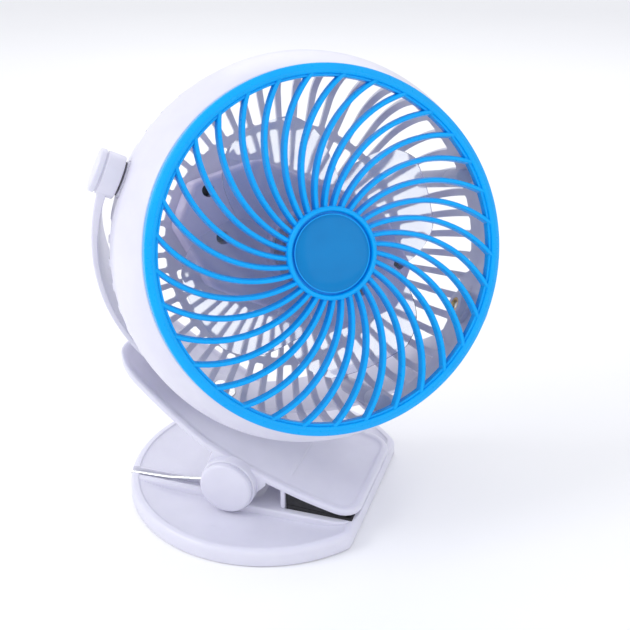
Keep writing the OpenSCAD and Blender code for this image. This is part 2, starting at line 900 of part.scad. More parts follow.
module battery_cell() {
    color("#3a7fc4") at_head() translate([-cell_l / 2, cell_y, cell_z]) {
        cylinder_x(cell_d / 2, 0, cell_l - 1.2);
        cylinder_x(3, cell_l - 2, cell_l);
    }
}

module battery_plate() {
    color(steel) at_head()
        translate([cell_l / 2 + touch, cell_y - 4, cell_z - 4]) cube([0.5, 8, 8]);
}

module battery_spring() {
    color(steel) at_head() translate([-cell_l / 2 - touch, cell_y, cell_z])
        for (i = [0:2]) translate([-1.1 * (i + 1), 0, 0])
            rotate([0, 90, 0]) rotate_extrude()
                translate([2.2 + 0.9 * i, 0.55]) circle(r = 0.56, $fn = 16);
}

module battery_door() {
    color(white) at_head()
        difference() {
            translate([-door_half_l, cell_y - door_half_h, -rear_z])
                cube([2 * door_half_l, 2 * door_half_h, wall]);
            for (i = [-2:2])
                translate([-door_half_l + 9 + i * 2, cell_y - 5, -rear_z - 1]) cube([0.8, 10, 1.5]);
            translate([door_half_l - 6, cell_y, -rear_z - 1]) cylinder(r = 1.1, h = 5);
            translate([door_half_l - 6, cell_y, -rear_z - 1]) cylinder(r = 2.3, h = 2);
        }
}

module door_screw() {
    color(steel) at_head() translate([door_half_l - 6, cell_y, -rear_z]) {
        difference() {
            cylinder(r = 2.1, h = 0.95);
            translate([-1.5, -0.3, -1]) cube([3, 0.6, 1.5]);
            translate([-0.3, -1.5, -1]) cube([0.6, 3, 1.5]);
        }
        translate([0, 0, 0.9]) cylinder(r = 1.05, h = 1.4);
    }
}

module circuit_board() {
    color("#2f7d4f") at_head()
        difference() {
            translate([-28, board_y - 9, board_z]) cube([58, 15, 1.6]);
            translate([light_x, button_y, board_z - 1]) cylinder(r = 0.6, h = 5);
        }
}

module usb_socket() {
    color(steel) at_head() translate([socket_x - 4, button_y - 1.5, -rear_z + 1])
        difference() {
            cube([8, 3, board_z + rear_z - 1 - touch]);
            translate([0.6, 0.6, -1]) cube([6.8, 1.8, 4.5]);
        }
}

module button_switch() {
    color(black) at_head() translate([0, button_y, board_z - touch]) {
        translate([-3, -3, -1.6]) cube([6, 6, 1.6]);
        translate([0, 0, -2.2]) cylinder(r = 1.6, h = 0.7);
    }
}

button_travel = 1;

module power_button() {
    edge = 0.8;
    color(blue) at_head() translate([0, button_y, 0]) {
        rotate_extrude()
            polygon([
                [0, -rear_z - 1.4], [4, -rear_z - 1.4], [5 - edge / 4, -rear_z - 1],
                [5, -rear_z - 0.6], [5, panel_z + 0.2], [6.2, panel_z + 0.2],
                [6.2, panel_z + 1], [0, panel_z + 1]
            ]);
    }
}

module light_pipe() {
    color(clear) at_head() translate([light_x, button_y, -rear_z + 0.1])
        cylinder(r = 1.55, h = board_z + rear_z - 0.2);
}

lower_jaw();
lower_pad();
pivot_pin();
near_pivot_cap();
far_pivot_cap();
torsion_spring();
upper_jaw();
upper_pad();
swivel_screw();
swivel_washer();
swivel_nut();
yoke();
left_yoke_cap();
right_yoke_cap();
tilt_washers();
front_shell();
rear_shell();
shell_screws();
front_grille();
hub_cap();
tilt_screws();
tilt_inserts();
motor_pod();
pod_screws();
motor_can();
motor_end_cap();
front_bush();
rear_bush();
motor_shaft();
impeller();
impeller_insert();
battery_cell();
battery_plate();
battery_spring();
battery_door();
door_screw();
circuit_board();
usb_socket();
button_switch();
power_button();
light_pipe();
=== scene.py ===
"""Looks of the clip-on desk fan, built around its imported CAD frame.

Piece builders work in millimetres, in the head's, yoke's, clip seat's or pivot's own axes.
Those places come from the frame's joints, and the main sizes from its nodes.
"""
import json
import math

import bmesh
import bpy
from mathutils import Matrix, Vector


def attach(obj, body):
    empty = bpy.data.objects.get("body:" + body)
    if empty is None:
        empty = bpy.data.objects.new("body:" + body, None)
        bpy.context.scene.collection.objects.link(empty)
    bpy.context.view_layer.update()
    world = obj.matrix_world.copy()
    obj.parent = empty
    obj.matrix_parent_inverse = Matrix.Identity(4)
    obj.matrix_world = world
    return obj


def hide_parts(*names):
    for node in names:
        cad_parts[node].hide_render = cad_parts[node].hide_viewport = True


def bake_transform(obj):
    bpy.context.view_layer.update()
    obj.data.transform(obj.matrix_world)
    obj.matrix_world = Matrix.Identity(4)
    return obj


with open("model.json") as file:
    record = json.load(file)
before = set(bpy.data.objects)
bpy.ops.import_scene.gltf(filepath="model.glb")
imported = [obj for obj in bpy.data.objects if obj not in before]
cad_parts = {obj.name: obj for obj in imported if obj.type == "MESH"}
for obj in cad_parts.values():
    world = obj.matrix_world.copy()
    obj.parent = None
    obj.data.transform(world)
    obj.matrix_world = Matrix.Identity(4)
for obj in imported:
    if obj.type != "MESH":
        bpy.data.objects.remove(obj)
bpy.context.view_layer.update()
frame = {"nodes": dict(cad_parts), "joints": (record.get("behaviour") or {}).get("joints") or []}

MM = 0.001
TAU = math.tau
HAIR = 0.01  # too small to see: the edge of a shape that only cuts, or a step off a face


# ---------- places and sizes taken from the frame ----------

def joint(name):
    return next(j for j in frame["joints"] if j["name"] == name)


def place(origin, x_axis, z_axis):
    """A frame from its origin in metres, its +Z, and a direction near its +X."""
    z = Vector(z_axis).normalized()
    y = z.cross(Vector(x_axis)).normalized()
    x = y.cross(z)
    return Matrix((
        (x.x, y.x, z.x, origin[0]),
        (x.y, y.y, z.y, origin[1]),
        (x.z, y.z, z.z, origin[2]),
        (0, 0, 0, 1),
    ))


def extent(node, where):
    """Lowest and highest corner of a CAD node in a place's own axes, in millimetres."""
    back = where.inverted()
    points = [back @ v.co for v in frame["nodes"][node].data.vertices]
    low = Vector([min(p[i] for p in points) for i in range(3)])
    high = Vector([max(p[i] for p in points) for i in range(3)])
    return low / MM, high / MM


tilt = joint("head_tilt")
swivel = joint("yoke_swivel")
clip = joint("clip_open")
spin = joint("impeller_spin")
WORLD = Matrix.Identity(4)
HEAD = place(tilt["pos_m"], tilt["axis"], spin["axis"])
YOKE = place(tilt["pos_m"], tilt["axis"], swivel["axis"])
SEAT = place(swivel["pos_m"], tilt["axis"], swivel["axis"])
PIVOT = place(clip["pos_m"], (1, 0, 0), (0, -1, 0))

shell_high = extent("front_shell", HEAD)[1]
back_low, back_high = extent("rear_shell", HEAD)
ring_high = extent("front_grille", HEAD)[1]
jaw_high = extent("upper_jaw", WORLD)[1]
base_high = extent("lower_jaw", WORLD)[1]

DRUM_R = shell_high.y
DRUM_Z = 5  # the drum is straight up to here, then narrows to its lip
LIP_Z = shell_high.z
SPLIT_Z = back_high.z + 0.05  # where the front shell ends and the rear one begins
DOME_Z = -8  # the rear shell curves in behind this
REAR_Z = back_low.z
REAR_FLAT_R = 69
RING_R = ring_high.y
WALL = 2.2


# ---------- mesh building ----------

def polar(r, a, z=0.0):
    return Vector((r * math.cos(a), r * math.sin(a), z))


def quarter(steps, first=0):
    """Angles over a quarter turn in equal steps, from the given step on."""
    return [math.pi / 2 * k / steps for k in range(first, steps + 1)]


class Shape:
    """Points in millimetres and faces, gathered before they become a mesh."""

    def __init__(self):
        self.points = []
        self.faces = []

    def point(self, p):
        self.points.append(Vector(p))
        return len(self.points) - 1

    def rows(self, rings):
        return [[self.point(p) for p in ring] for ring in rings]

    def bridge(self, a, b):
        """Faces between two rows of points, either of which may be a single point."""
        n = max(len(a), len(b))
        for k in range(n):
            m = (k + 1) % n
            face = (a[k % len(a)], a[m % len(a)], b[m % len(b)], b[k % len(b)])
            face = tuple(dict.fromkeys(face))
            if len(face) > 2:
                self.faces.append(face)

    def skin(self, rings, loop=False, caps=True):
        """A tube over rings of equal length, joined end to end or capped."""
        rows = self.rows(rings)
        for a, b in zip(rows, rows[1:] + (rows[:1] if loop else [])):
            self.bridge(a, b)
        if caps and not loop:
            self.faces += [tuple(rows[0]), tuple(rows[-1])]
        return self

    def lathe(self, profile, count=96):
        """(radius, z) points turned about Z: a ring, or a solid if it starts on the axis."""
        rings = [
            [Vector((0, 0, z))] if r < 1e-6
            else [polar(r, TAU * k / count, z) for k in range(count)]
            for r, z in profile
        ]
        rows = self.rows(rings)
        solid = len(rows[0]) == 1
        for a, b in zip(rows, rows[1:] + ([] if solid else rows[:1])):
            self.bridge(a, b)
        return self

    def moved(self, matrix):
        self.points = [matrix @ p for p in self.points]
        return self

    def joined(self, other):
        first = len(self.points)
        self.points += other.points
        self.faces += [tuple(first + i for i in f) for f in other.faces]
        return self

    def mesh(self, where=WORLD):
        bm = bmesh.new()
        verts = [bm.verts.new(where @ (p * MM)) for p in self.points]
        for face in self.faces:
            bm.faces.new([verts[i] for i in face])
        bmesh.ops.recalc_face_normals(bm, faces=bm.faces)
        mesh = bpy.data.meshes.new("shape")
        bm.to_mesh(mesh)
        bm.free()
        return mesh


SWAP_YZ = Matrix(((1, 0, 0, 0), (0, 0, 1, 0), (0, 1, 0, 0), (0, 0, 0, 1)))
SWAP_XZ = Matrix(((0, 0, 1, 0), (0, 1, 0, 0), (1, 0, 0, 0), (0, 0, 0, 1)))


def turned(angle):
    return Matrix.Rotation(angle, 4, "Z")


def shifted(x, y, z=0):
    return Matrix.Translation((x, y, z))


def along_x(shape, side=1):
    """A shape made about Z, laid along X on the right (1) or left (-1)."""
    return shape.moved(SWAP_XZ).moved(turned(0 if side > 0 else math.pi))


def rounded(corners, steps=5, closed=True):
    """2-D corners (x, y, radius) joined with round turns. Radius 0 keeps a corner."""
    out = []
    n = len(corners)
    for i, (x, y, r) in enumerate(corners):
        p = Vector((x, y))
        if r == 0 or (not closed and i in (0, n - 1)):
            out.append(p)
            continue
        a = Vector(corners[i - 1][:2]) - p
        b = Vector(corners[(i + 1) % n][:2]) - p
        half = a.angle(b) / 2
        cut = min(r / math.tan(half), 0.49 * a.length, 0.49 * b.length)
        a.normalize()
        b.normalize()
        radius = cut * math.tan(half)
        centre = p + (a + b).normalized() * (radius / math.sin(half))
        start = p + a * cut - centre
        end = p + b * cut - centre
        sweep = math.atan2(start.x * end.y - start.y * end.x, start.dot(end))
        for k in range(steps + 1):
            t = sweep * k / steps
            c, s = math.cos(t), math.sin(t)
            out.append(centre + Vector((start.x * c - start.y * s, start.x * s + start.y * c)))
    return out


def spaced(points, step):
    """The same closed 2-D outline with long stretches cut into pieces no longer than step."""
    out = []
    for a, b in zip(points, points[1:] + points[:1]):
        parts = max(1, math.ceil((b - a).length / step))
        out += [a.lerp(b, k / parts) for k in range(parts)]
    return out


def outward(points):
    """Outward direction at each point of a closed 2-D outline, up to twice as long at corners."""
    n = len(points)
    area = sum(p.x * q.y - q.x * p.y for p, q in zip(points, points[1:] + points[:1]))
    side = 1 if area > 0 else -1
    out = []
    for i, p in enumerate(points):
        a = (p - points[i - 1]).normalized()
        b = (points[(i + 1) % n] - p).normalized()
        na = Vector((a.y, -a.x)) * side
        nb = Vector((b.y, -b.x)) * side
        mid = (na + nb).normalized()
        out.append(mid / max(0.5, mid.dot(na)))
    return out


def block(outline, levels):
    """A solid over a closed 2-D outline, from (inset, z) levels, with flat ends."""
    normals = outward(outline)
    rings = [
        [Vector((*(p - n * inset), z)) for p, n in zip(outline, normals)]
        for inset, z in levels
    ]
    return Shape().skin(rings)


def soft_levels(z0, z1, edge, steps=3):
    """Levels of a block from z0 to z1 with both its edges rounded."""
    low = [(edge * (1 - math.sin(t)), z0 + edge * (1 - math.cos(t))) for t in quarter(steps)]
    return low + [(inset, z0 + z1 - z) for inset, z in reversed(low)]


def rectangle(x0, y0, x1, y1, r=0):
    return rounded([(x0, y0, r), (x1, y0, r), (x1, y1, r), (x0, y1, r)])


def bar(x0, y0, x1, y1, z0, z1, edge=0.3, corner=0.4):
    return block(rectangle(x0, y0, x1, y1, corner), soft_levels(z0, z1, edge, 2))


def disc(r, z0, z1, edge=0.3, count=48):
    return Shape().lathe(
        [(0, z0)] + [(r - i, z) for i, z in soft_levels(z0, z1, edge)] + [(0, z1)], count)


def tube(path, r, sides):
    """A round wire along points, with its ends closed."""
    rings = []
    side = None
    for i, p in enumerate(path):
        d = (path[min(i + 1, len(path) - 1)] - path[max(i - 1, 0)]).normalized()
        side = d.orthogonal() if side is None else side - d * side.dot(d)
        side.normalize()
        other = d.cross(side)
        rings.append([p + r * (math.cos(t) * side + math.sin(t) * other)
                      for t in [TAU * k / sides for k in range(sides)]])
    return Shape().skin(rings)


def as_object(mesh, name="work"):
    obj = bpy.data.objects.new(name, mesh)
    bpy.context.scene.collection.objects.link(obj)
    return obj


def carve(mesh, others, operation):
    """A mesh after adding, cutting or keeping what it shares with other meshes."""
    obj = as_object(mesh)
    tools = [as_object(o) for o in others]
    for tool in tools:
        m = obj.modifiers.new("cut", "BOOLEAN")
        m.object = tool
        m.operation = operation
        m.solver = "MANIFOLD"
    bpy.context.view_layer.update()
    view = bpy.context.evaluated_depsgraph_get()
    made = bpy.data.meshes.new_from_object(obj.evaluated_get(view))
    for o in [obj] + tools:
        bpy.data.objects.remove(o)
    return made


def weld(mesh):
    """Joins points that a cut left almost on one another, and drops the slivers between them."""
    close = 5e-6
    bm = bmesh.new()
    bm.from_mesh(mesh)
    bmesh.ops.remove_doubles(bm, verts=bm.verts, dist=close)
    bmesh.ops.dissolve_degenerate(bm, edges=bm.edges, dist=close)
    bmesh.ops.triangulate(bm, faces=[f for f in bm.faces if len(f.verts) > 4])
    seen = {}
    for f in bm.faces:
        seen.setdefault(frozenset(f.verts), []).append(f)
    twins = [f for same in seen.values() if len(same) > 1 for f in same]
    bmesh.ops.delete(bm, geom=twins, context="FACES")
    bmesh.ops.delete(bm, geom=[v for v in bm.verts if not v.link_faces], context="VERTS")
    bmesh.ops.holes_fill(bm, edges=[e for e in bm.edges if e.is_boundary], sides=12)
    bm.to_mesh(mesh)
    bm.free()


def piece(name, mesh, body, finish, stands_for, smooth=38):
    """A finished mesh with its material, slot and CAD nodes. Without a body it is left unattached.
    """
    mesh.name = name
    weld(mesh)
    mesh.shade_smooth()
    mesh.set_sharp_from_angle(angle=math.radians(smooth))
    mesh.materials.clear()
    mesh.materials.append(finish)
    obj = as_object(mesh, name)
    if body:
        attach(obj, body)
    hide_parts(*stands_for)
    return obj


# ---------- materials ----------

NOISE_LOW, NOISE_HIGH = 0.3, 0.7  # most noise values lie between these
RELIEF = 0.0002


def node(tree, kind, **settings):
    made = tree.nodes.new("ShaderNode" + kind)
    for name, value in settings.items():
        setattr(made, name, value)
    return made


def noise(tree, scale, detail=3.0, stretch=(1, 1, 1)):
    """A noise value over the object's own coordinates, at that many features per metre."""
    position = node(tree, "TexCoord")
    fit = node(tree, "Mapping")
    fit.inputs["Scale"].default_value = stretch
    grain = node(tree, "TexNoise")
    grain.inputs["Scale"].default_value = scale
    grain.inputs["Detail"].default_value = detail
    tree.links.new(position.outputs["Object"], fit.inputs["Vector"])
    tree.links.new(fit.outputs["Vector"], grain.inputs["Vector"])
    return grain.outputs["Fac"]


def vary(tree, value, low, high):
    """Spreads a noise value between two numbers."""
    fit = node(tree, "MapRange")
    fit.inputs["From Min"].default_value = NOISE_LOW
    fit.inputs["From Max"].default_value = NOISE_HIGH
    fit.inputs["To Min"].default_value = low
    fit.inputs["To Max"].default_value = high
    tree.links.new(value, fit.inputs["Value"])
    return fit.outputs["Result"]


def between(tree, value, first, second):
    """A colour that runs from one to the other over the noise's range."""
    ramp = node(tree, "ValToRGB")
    ramp.color_ramp.elements[0].position = NOISE_LOW
    ramp.color_ramp.elements[1].position = NOISE_HIGH
    ramp.color_ramp.elements[0].color = (*first, 1)
    ramp.color_ramp.elements[1].color = (*second, 1)
    tree.links.new(value, ramp.inputs["Fac"])
    return ramp.outputs["Color"]


def bumped(tree, shader, height, strength):
    bump = node(tree, "Bump")
    bump.inputs["Strength"].default_value = strength
    bump.inputs["Distance"].default_value = RELIEF
    tree.links.new(height, bump.inputs["Height"])
    tree.links.new(bump.outputs["Normal"], shader.inputs["Normal"])


def finish_of(name, first, second, rough, patch=90, grain=2600, bump=0.06,
              stretch=(1, 1, 1), **sockets):
    """A material whose colour drifts between two tones, with fine grain in gloss and relief."""
    material = bpy.data.materials.new(name)
    material.use_nodes = True
    tree = material.node_tree
    shader = tree.nodes["Principled BSDF"]
    for socket, value in sockets.items():
        shader.inputs[socket.replace("_", " ")].default_value = value
    colour = between(tree, noise(tree, patch), first, second)
    gloss = vary(tree, noise(tree, grain / 4, 4, stretch), *rough)
    tree.links.new(colour, shader.inputs["Base Color"])
    tree.links.new(gloss, shader.inputs["Roughness"])
    bumped(tree, shader, noise(tree, grain, 2, stretch), bump)
    material.diffuse_color = (*first, 1)
    return material


WHITE = finish_of("white_abs", (0.69, 0.685, 0.79), (0.72, 0.715, 0.815), (0.30, 0.38),
                  IOR=1.5, Subsurface_Weight=0.08, Subsurface_Radius=(0.004, 0.003, 0.005),
                  Subsurface_Scale=0.5)
# Pod plastic given a paler lavender tone than the white shells: painted light that stands in for
# the light the pod gets through the clear wheel.
POD_PAINTED_LIGHT = finish_of("pod_abs_with_painted_light", (0.74, 0.68, 0.90), (0.80, 0.74, 0.95), (0.34, 0.42), IOR=1.5)
BLUE = finish_of("blue_abs", (0.0, 0.37, 0.88), (0.0, 0.40, 0.92), (0.26, 0.34), bump=0.04,
                 IOR=1.5, Specular_IOR_Level=0.2, Subsurface_Weight=0.05,
                 Subsurface_Radius=(0.001, 0.002, 0.004), Subsurface_Scale=0.4)
GLOSS = finish_of("blue_gloss_abs", (0.0, 0.20, 0.53), (0.0, 0.22, 0.57), (0.12, 0.18), bump=0.02,
                  IOR=1.5, Specular_IOR_Level=0.12, Coat_Weight=0.12, Coat_Roughness=0.08)
RUBBER = finish_of("black_rubber", (0.012, 0.012, 0.014), (0.022, 0.022, 0.025), (0.55, 0.75),
                   patch=400, bump=0.35)
FIBRE = finish_of("dark_fibre", (0.10, 0.095, 0.11), (0.16, 0.15, 0.17), (0.6, 0.8),
                  patch=900, bump=0.4)
STEEL = finish_of("bright_steel", (0.72, 0.73, 0.75), (0.82, 0.83, 0.84), (0.16, 0.28),
                  patch=500, bump=0.1, stretch=(1, 1, 6), Metallic=1.0)
OXIDE = finish_of("black_oxide_steel", (0.03, 0.03, 0.035), (0.05, 0.05, 0.055), (0.4, 0.55),
                  grain=1200, bump=0.1, Metallic=0.6)
CAN = finish_of("motor_steel_plate", (0.30, 0.29, 0.30), (0.40, 0.38, 0.38), (0.25, 0.42),
                patch=300, bump=0.12, stretch=(1, 1, 5), Metallic=1.0)
NICKEL = finish_of("nickel_plate", (0.62, 0.58, 0.50), (0.72, 0.68, 0.60), (0.2, 0.34),
                   patch=500, bump=0.1, Metallic=1.0)
BRASS = finish_of("turned_brass", (0.62, 0.42, 0.17), (0.72, 0.52, 0.24), (0.22, 0.36),
                  patch=500, bump=0.12, stretch=(6, 1, 1), Metallic=1.0)
IVORY = finish_of("ivory_nylon", (0.78, 0.75, 0.64), (0.83, 0.80, 0.70), (0.4, 0.5), bump=0.08)
BLACK = finish_of("black_abs", (0.02, 0.02, 0.022), (0.035, 0.035, 0.038), (0.35, 0.5),
                  bump=0.08)
WRAP = finish_of("cell_sleeve", (0.05, 0.20, 0.50), (0.06, 0.24, 0.56), (0.2, 0.34), bump=0.05,
                 Coat_Weight=0.3)
BOARD = finish_of("board_mask", (0.01, 0.14, 0.055), (0.015, 0.20, 0.08), (0.25, 0.45),
                  patch=1500, bump=0.1)
CLEAR = finish_of("clear_blade", (0.86, 0.88, 0.95), (0.90, 0.92, 0.98), (0.04, 0.09), bump=0.03,
                  Transmission_Weight=0.95, IOR=1.35)
PIPE = finish_of("clear_pipe", (0.85, 0.9, 0.9), (0.9, 0.94, 0.94), (0.15, 0.25), bump=0.05,
                 Transmission_Weight=0.7, IOR=1.49)


# ---------- the front grille and the hub cap ----------

RIBS = 33
RIB_ARC = 50
RIB_SKEW = -2.4
RIB_PHASE = math.radians(1.8)
RIB_FROM, RIB_TO = 17.6, 71.6
RIB_WIDTH = 2.5
RIB_CREST = 0.66  # the front's width as a part of the rib's
RIB_DOME = 0.55
RING_CROWN = 1.7
HUB_CAP_R = 15.8


def rib_line(r0, r1, steps):
    """Centre line of a rib: an arc that leaves the hub ring almost straight and sweeps round."""
    centre = Vector((RIB_SKEW, -RIB_ARC))
    lean = math.atan2(centre.x, centre.y)
    line = []
    for k in range(steps + 1):
        r = r0 + (r1 - r0) * k / steps
        q = (r * r - centre.length_squared - RIB_ARC ** 2) / (2 * RIB_ARC * centre.length)
        t = lean - math.acos(max(-1, min(1, q)))
        line.append(centre + RIB_ARC * Vector((math.sin(t), math.cos(t))))
    return line


def rib(width, z0, z1):
    """One rib: a bar that narrows to a domed front, swept along its line."""
    line = rib_line(RIB_FROM, RIB_TO, 22)
    half = width / 2
    crest = half * RIB_CREST
    section = [(half - 0.2, z0), (half, z0 + 0.3)]
    section += [(crest * math.cos(t), z1 - RIB_DOME + RIB_DOME * math.sin(t))
                for t in [math.pi * k / 8 for k in range(9)]]
    section += [(-half, z0 + 0.3), (-half + 0.2, z0)]
    rings = []
    for i, p in enumerate(line):
        d = (line[min(i + 1, len(line) - 1)] - line[max(i - 1, 0)]).normalized()
        side = Vector((-d.y, d.x))
        rings.append([Vector((*(p + side * u), z)) for u, z in section])
    return Shape().skin(rings)


def front_grille():
    """The outer ring with its spigot, the hub ring with the cap's seat, and the ribs between."""
    front = ring_high.z
    ring_z = front - RING_CROWN
    band = Shape().lathe(rounded([
        (72.0, ring_z - 7.5, 0.2), (69.7, ring_z - 3.3, 0.4), (69.7, ring_z + 0.35, 0.5),
        (70.5, ring_z + 0.35, 0.2), (70.7, ring_z + 0.1, 0.1), (70.9, ring_z + 1.2, 0.5),
        (72.3, front, 2.2), (RING_R, ring_z + 0.1, 1.3), (RING_R, LIP_Z + 0.05, 0.2),
        (72.7, LIP_Z + 0.05, 0), (72.7, ring_z - 7.5, 0.2),
    ], 6), 192)
    hub = Shape().lathe(rounded([
        (4, ring_z - 2, 0.3), (19, ring_z - 2, 0.8), (19, ring_z + 1.9, 1.2),
        (17.2, ring_z + 2.6, 0.8), (16.7, ring_z - 0.4, 0), (15.9, ring_z - 0.4, 0),
        (15.9, ring_z + 1.2, 0), (4, ring_z + 1.2, 0.2),
    ], 5), 128)
    ribs = Shape()
    for i in range(RIBS):
        one = rib(RIB_WIDTH, ring_z - 2.95, ring_z + 1.0)
        ribs.joined(one.moved(turned(RIB_PHASE + i * TAU / RIBS)))
    return carve(band.mesh(HEAD), [ribs.mesh(HEAD), hub.mesh(HEAD)], "UNION")


def hub_cap():
    """A blank disc with a low dome, on a short stem."""
    low, high = extent("hub_cap", HEAD)
    stem_r = 3.9
    edge = 0.45
    z = low.z + 4
    dome = high.z - z
    profile = [(0, low.z), (stem_r, low.z), (stem_r, z), (HUB_CAP_R, z)]
    profile += [(HUB_CAP_R * math.cos(t), z + edge + (dome - edge) * math.sin(t) ** 0.8)
                for t in quarter(14, 1)[:-1]]
    return Shape().lathe(profile + [(0, high.z)], 128).mesh(HEAD)


piece("grille", front_grille(), "head", BLUE, ["front_grille"], 40)
piece("hub_badge_blank", hub_cap(), "head", GLOSS, ["hub_cap"], 50)


# ---------- head shells ----------

SCREW_SPOTS = [math.radians(a) for a in (45, 135, 225, 315)]
SCREW_R = 74
COLUMN_R = 4
INSERT_R = 3.6
PIVOT_BOSS_R = 7.75


def at_screw(shape, spot):
    """A shape made on the head's axis, moved to one of the shell screws."""
    return shape.moved(shifted(SCREW_R, 0)).moved(turned(spot))


def front_shell():
    """The drum: straight, then narrowing to its lip, with pivot bosses and screw columns inside."""
    def outer(z):
        rise = max(0, z - DRUM_Z) / (LIP_Z - DRUM_Z)
        return DRUM_R - (DRUM_R - RING_R - 0.3) * rise * rise
    zs = [DRUM_Z + (LIP_Z - DRUM_Z) * i / 14 for i in range(15)]
    profile = [(DRUM_R - WALL, SPLIT_Z, 0), (DRUM_R - 0.35, SPLIT_Z, 0),
               (DRUM_R, SPLIT_Z + 0.35, 0)]
    profile += [(outer(z), z, 0) for z in zs[:-1]]
    profile += [(outer(LIP_Z), LIP_Z, 0.7), (72.9, LIP_Z, 0.5)]
    profile += [(outer(z) - WALL, z - 0.6, 0) for z in reversed(zs[:-1])]
    shell = Shape().lathe(rounded(profile), 192)
    adds = []
    cuts = Shape()
    for side in (1, -1):
        adds.append(along_x(disc(PIVOT_BOSS_R, 79, shell_high.x, 0.6), side))
        adds.append(along_x(disc(6.2, 76, 80, 0.4), side))
        cuts.joined(along_x(disc(INSERT_R, 72, 90, HAIR), side))
    for spot in SCREW_SPOTS:
        web = bar(SCREW_R, -1.2, 80.9, 1.2, SPLIT_Z + HAIR, SPLIT_Z + 13.5, 0.2, 0.3)
        adds.append(at_screw(disc(COLUMN_R, SPLIT_Z + HAIR, SPLIT_Z + 14, 0.6), spot))
        adds.append(web.moved(turned(spot)))
        cuts.joined(at_screw(disc(1.4, SPLIT_Z - 1, SPLIT_Z + 11, HAIR, 24), spot))
    solid = carve(shell.mesh(HEAD), [part.mesh(HEAD) for part in adds], "UNION")
    return carve(solid, [cuts.mesh(HEAD)], "DIFFERENCE")


SLOTS = 52
SLOT_R0 = 34  # where the inner ring of slots starts
BRIDGE_R0, BRIDGE_R1 = 52.8, 56.2  # the solid ring between the two rings of slots
SLOT_TOP = -4
SLOT_TOP_AT_PIVOT = -11  # slots beside the pivot bosses end lower
SLOT_CORNER = 0.7
SLOT_END = 1.1  # how much a slot narrows at its end on the drum
WALL_ROWS = 9
INNER_ROWS = range(2, 5)  # rows of slot_rows() that the inner slots span
OUTER_ROWS = range(6, 18)
POD_L = 54
POD_H = 30
POD_SCREWS = ((-34, -8), (34, -8), (-47, 9), (47, 9))


def pod_corners(grow=0, r=0):
    """Corners of the long eight-sided pod that holds the battery and the motor."""
    l, h = POD_L + grow, POD_H + grow
    shoulder, flat = l * 0.56, h * 0.34
    return [(l, -flat, r), (l, flat, r), (shoulder, h, r), (-shoulder, h, r),
            (-l, flat, r), (-l, -flat, r), (-shoulder, -h, r), (shoulder, -h, r)]


def pod_reach(angle, grow):
    """Distance from the centre to the pod's outline in a direction."""
    d = Vector((math.cos(angle), math.sin(angle)))
    corners = [Vector(c[:2]) for c in pod_corners(grow)]
    for a, b in zip(corners, corners[1:] + corners[:1]):
        edge = b - a
        cross = d.x * edge.y - d.y * edge.x
        if abs(cross) > 1e-9:
            t = (a.x * edge.y - a.y * edge.x) / cross
            u = (a.x * d.y - a.y * d.x) / cross
            if t > 0 and -1e-6 <= u <= 1 + 1e-6:
                return t
    return 0


def back_wall(z):
    """Radius of the rear shell's outside at a height, and the outward direction (r, z) there."""
    if z >= DOME_Z:
        return DRUM_R, Vector((1, 0))
    depth = DOME_Z - REAR_Z
    width = DRUM_R - REAR_FLAT_R
    r = REAR_FLAT_R + width * math.sqrt(max(0, 1 - ((DOME_Z - z) / depth) ** 2))
    out = Vector(((r - REAR_FLAT_R) / width ** 2, (z - DOME_Z) / depth ** 2))
    return r, out.normalized()


def slot_half(r):
    """Half width of a slot, which leaves a bar that grows slowly outwards."""
    return math.pi * r / SLOTS - 0.7 - 0.02 * (r - SLOT_R0)


def slot_rows(centre):
    """Rows (r, z, outward, narrowing) from the middle of the rear panel to the shell's edge along
    one slot, and whether the slot has an open stretch inside the bridge ring."""
    near_pivot = abs(math.sin(centre)) < 0.16
    top = SLOT_TOP_AT_PIVOT if near_pivot else SLOT_TOP
    reach = pod_reach(centre, 3.5)
    start = min(max(SLOT_R0, reach), 50)
    first = min(max(BRIDGE_R1, reach), 66)
    flat, sideways = Vector((0, -1)), Vector((1, 0))
    rows = [(r, REAR_Z, flat, n) for r, n in (
        (12, 0), (24, 0), (start, 0.55), (start + 0.8, 0), (52.0, 0), (BRIDGE_R0, SLOT_CORNER),
        (first, SLOT_CORNER), (first + 0.9, 0), (max(first + 1.5, 67), 0))]
    for k in range(WALL_ROWS):
        z = REAR_Z + (top - 1 - REAR_Z) * (1 - math.cos(math.pi / 2 * (k + 0.4) / 8.4))
        r, out = back_wall(z)
        rows.append((r, z, out, 0))
    r, out = back_wall(top)
    rows.append((r, top, out, SLOT_END))
    rows.append((DRUM_R, SPLIT_Z - 3, sideways, SLOT_END))
    rows.append((DRUM_R, SPLIT_Z - 0.4, sideways, SLOT_END))
    return rows, reach < 49


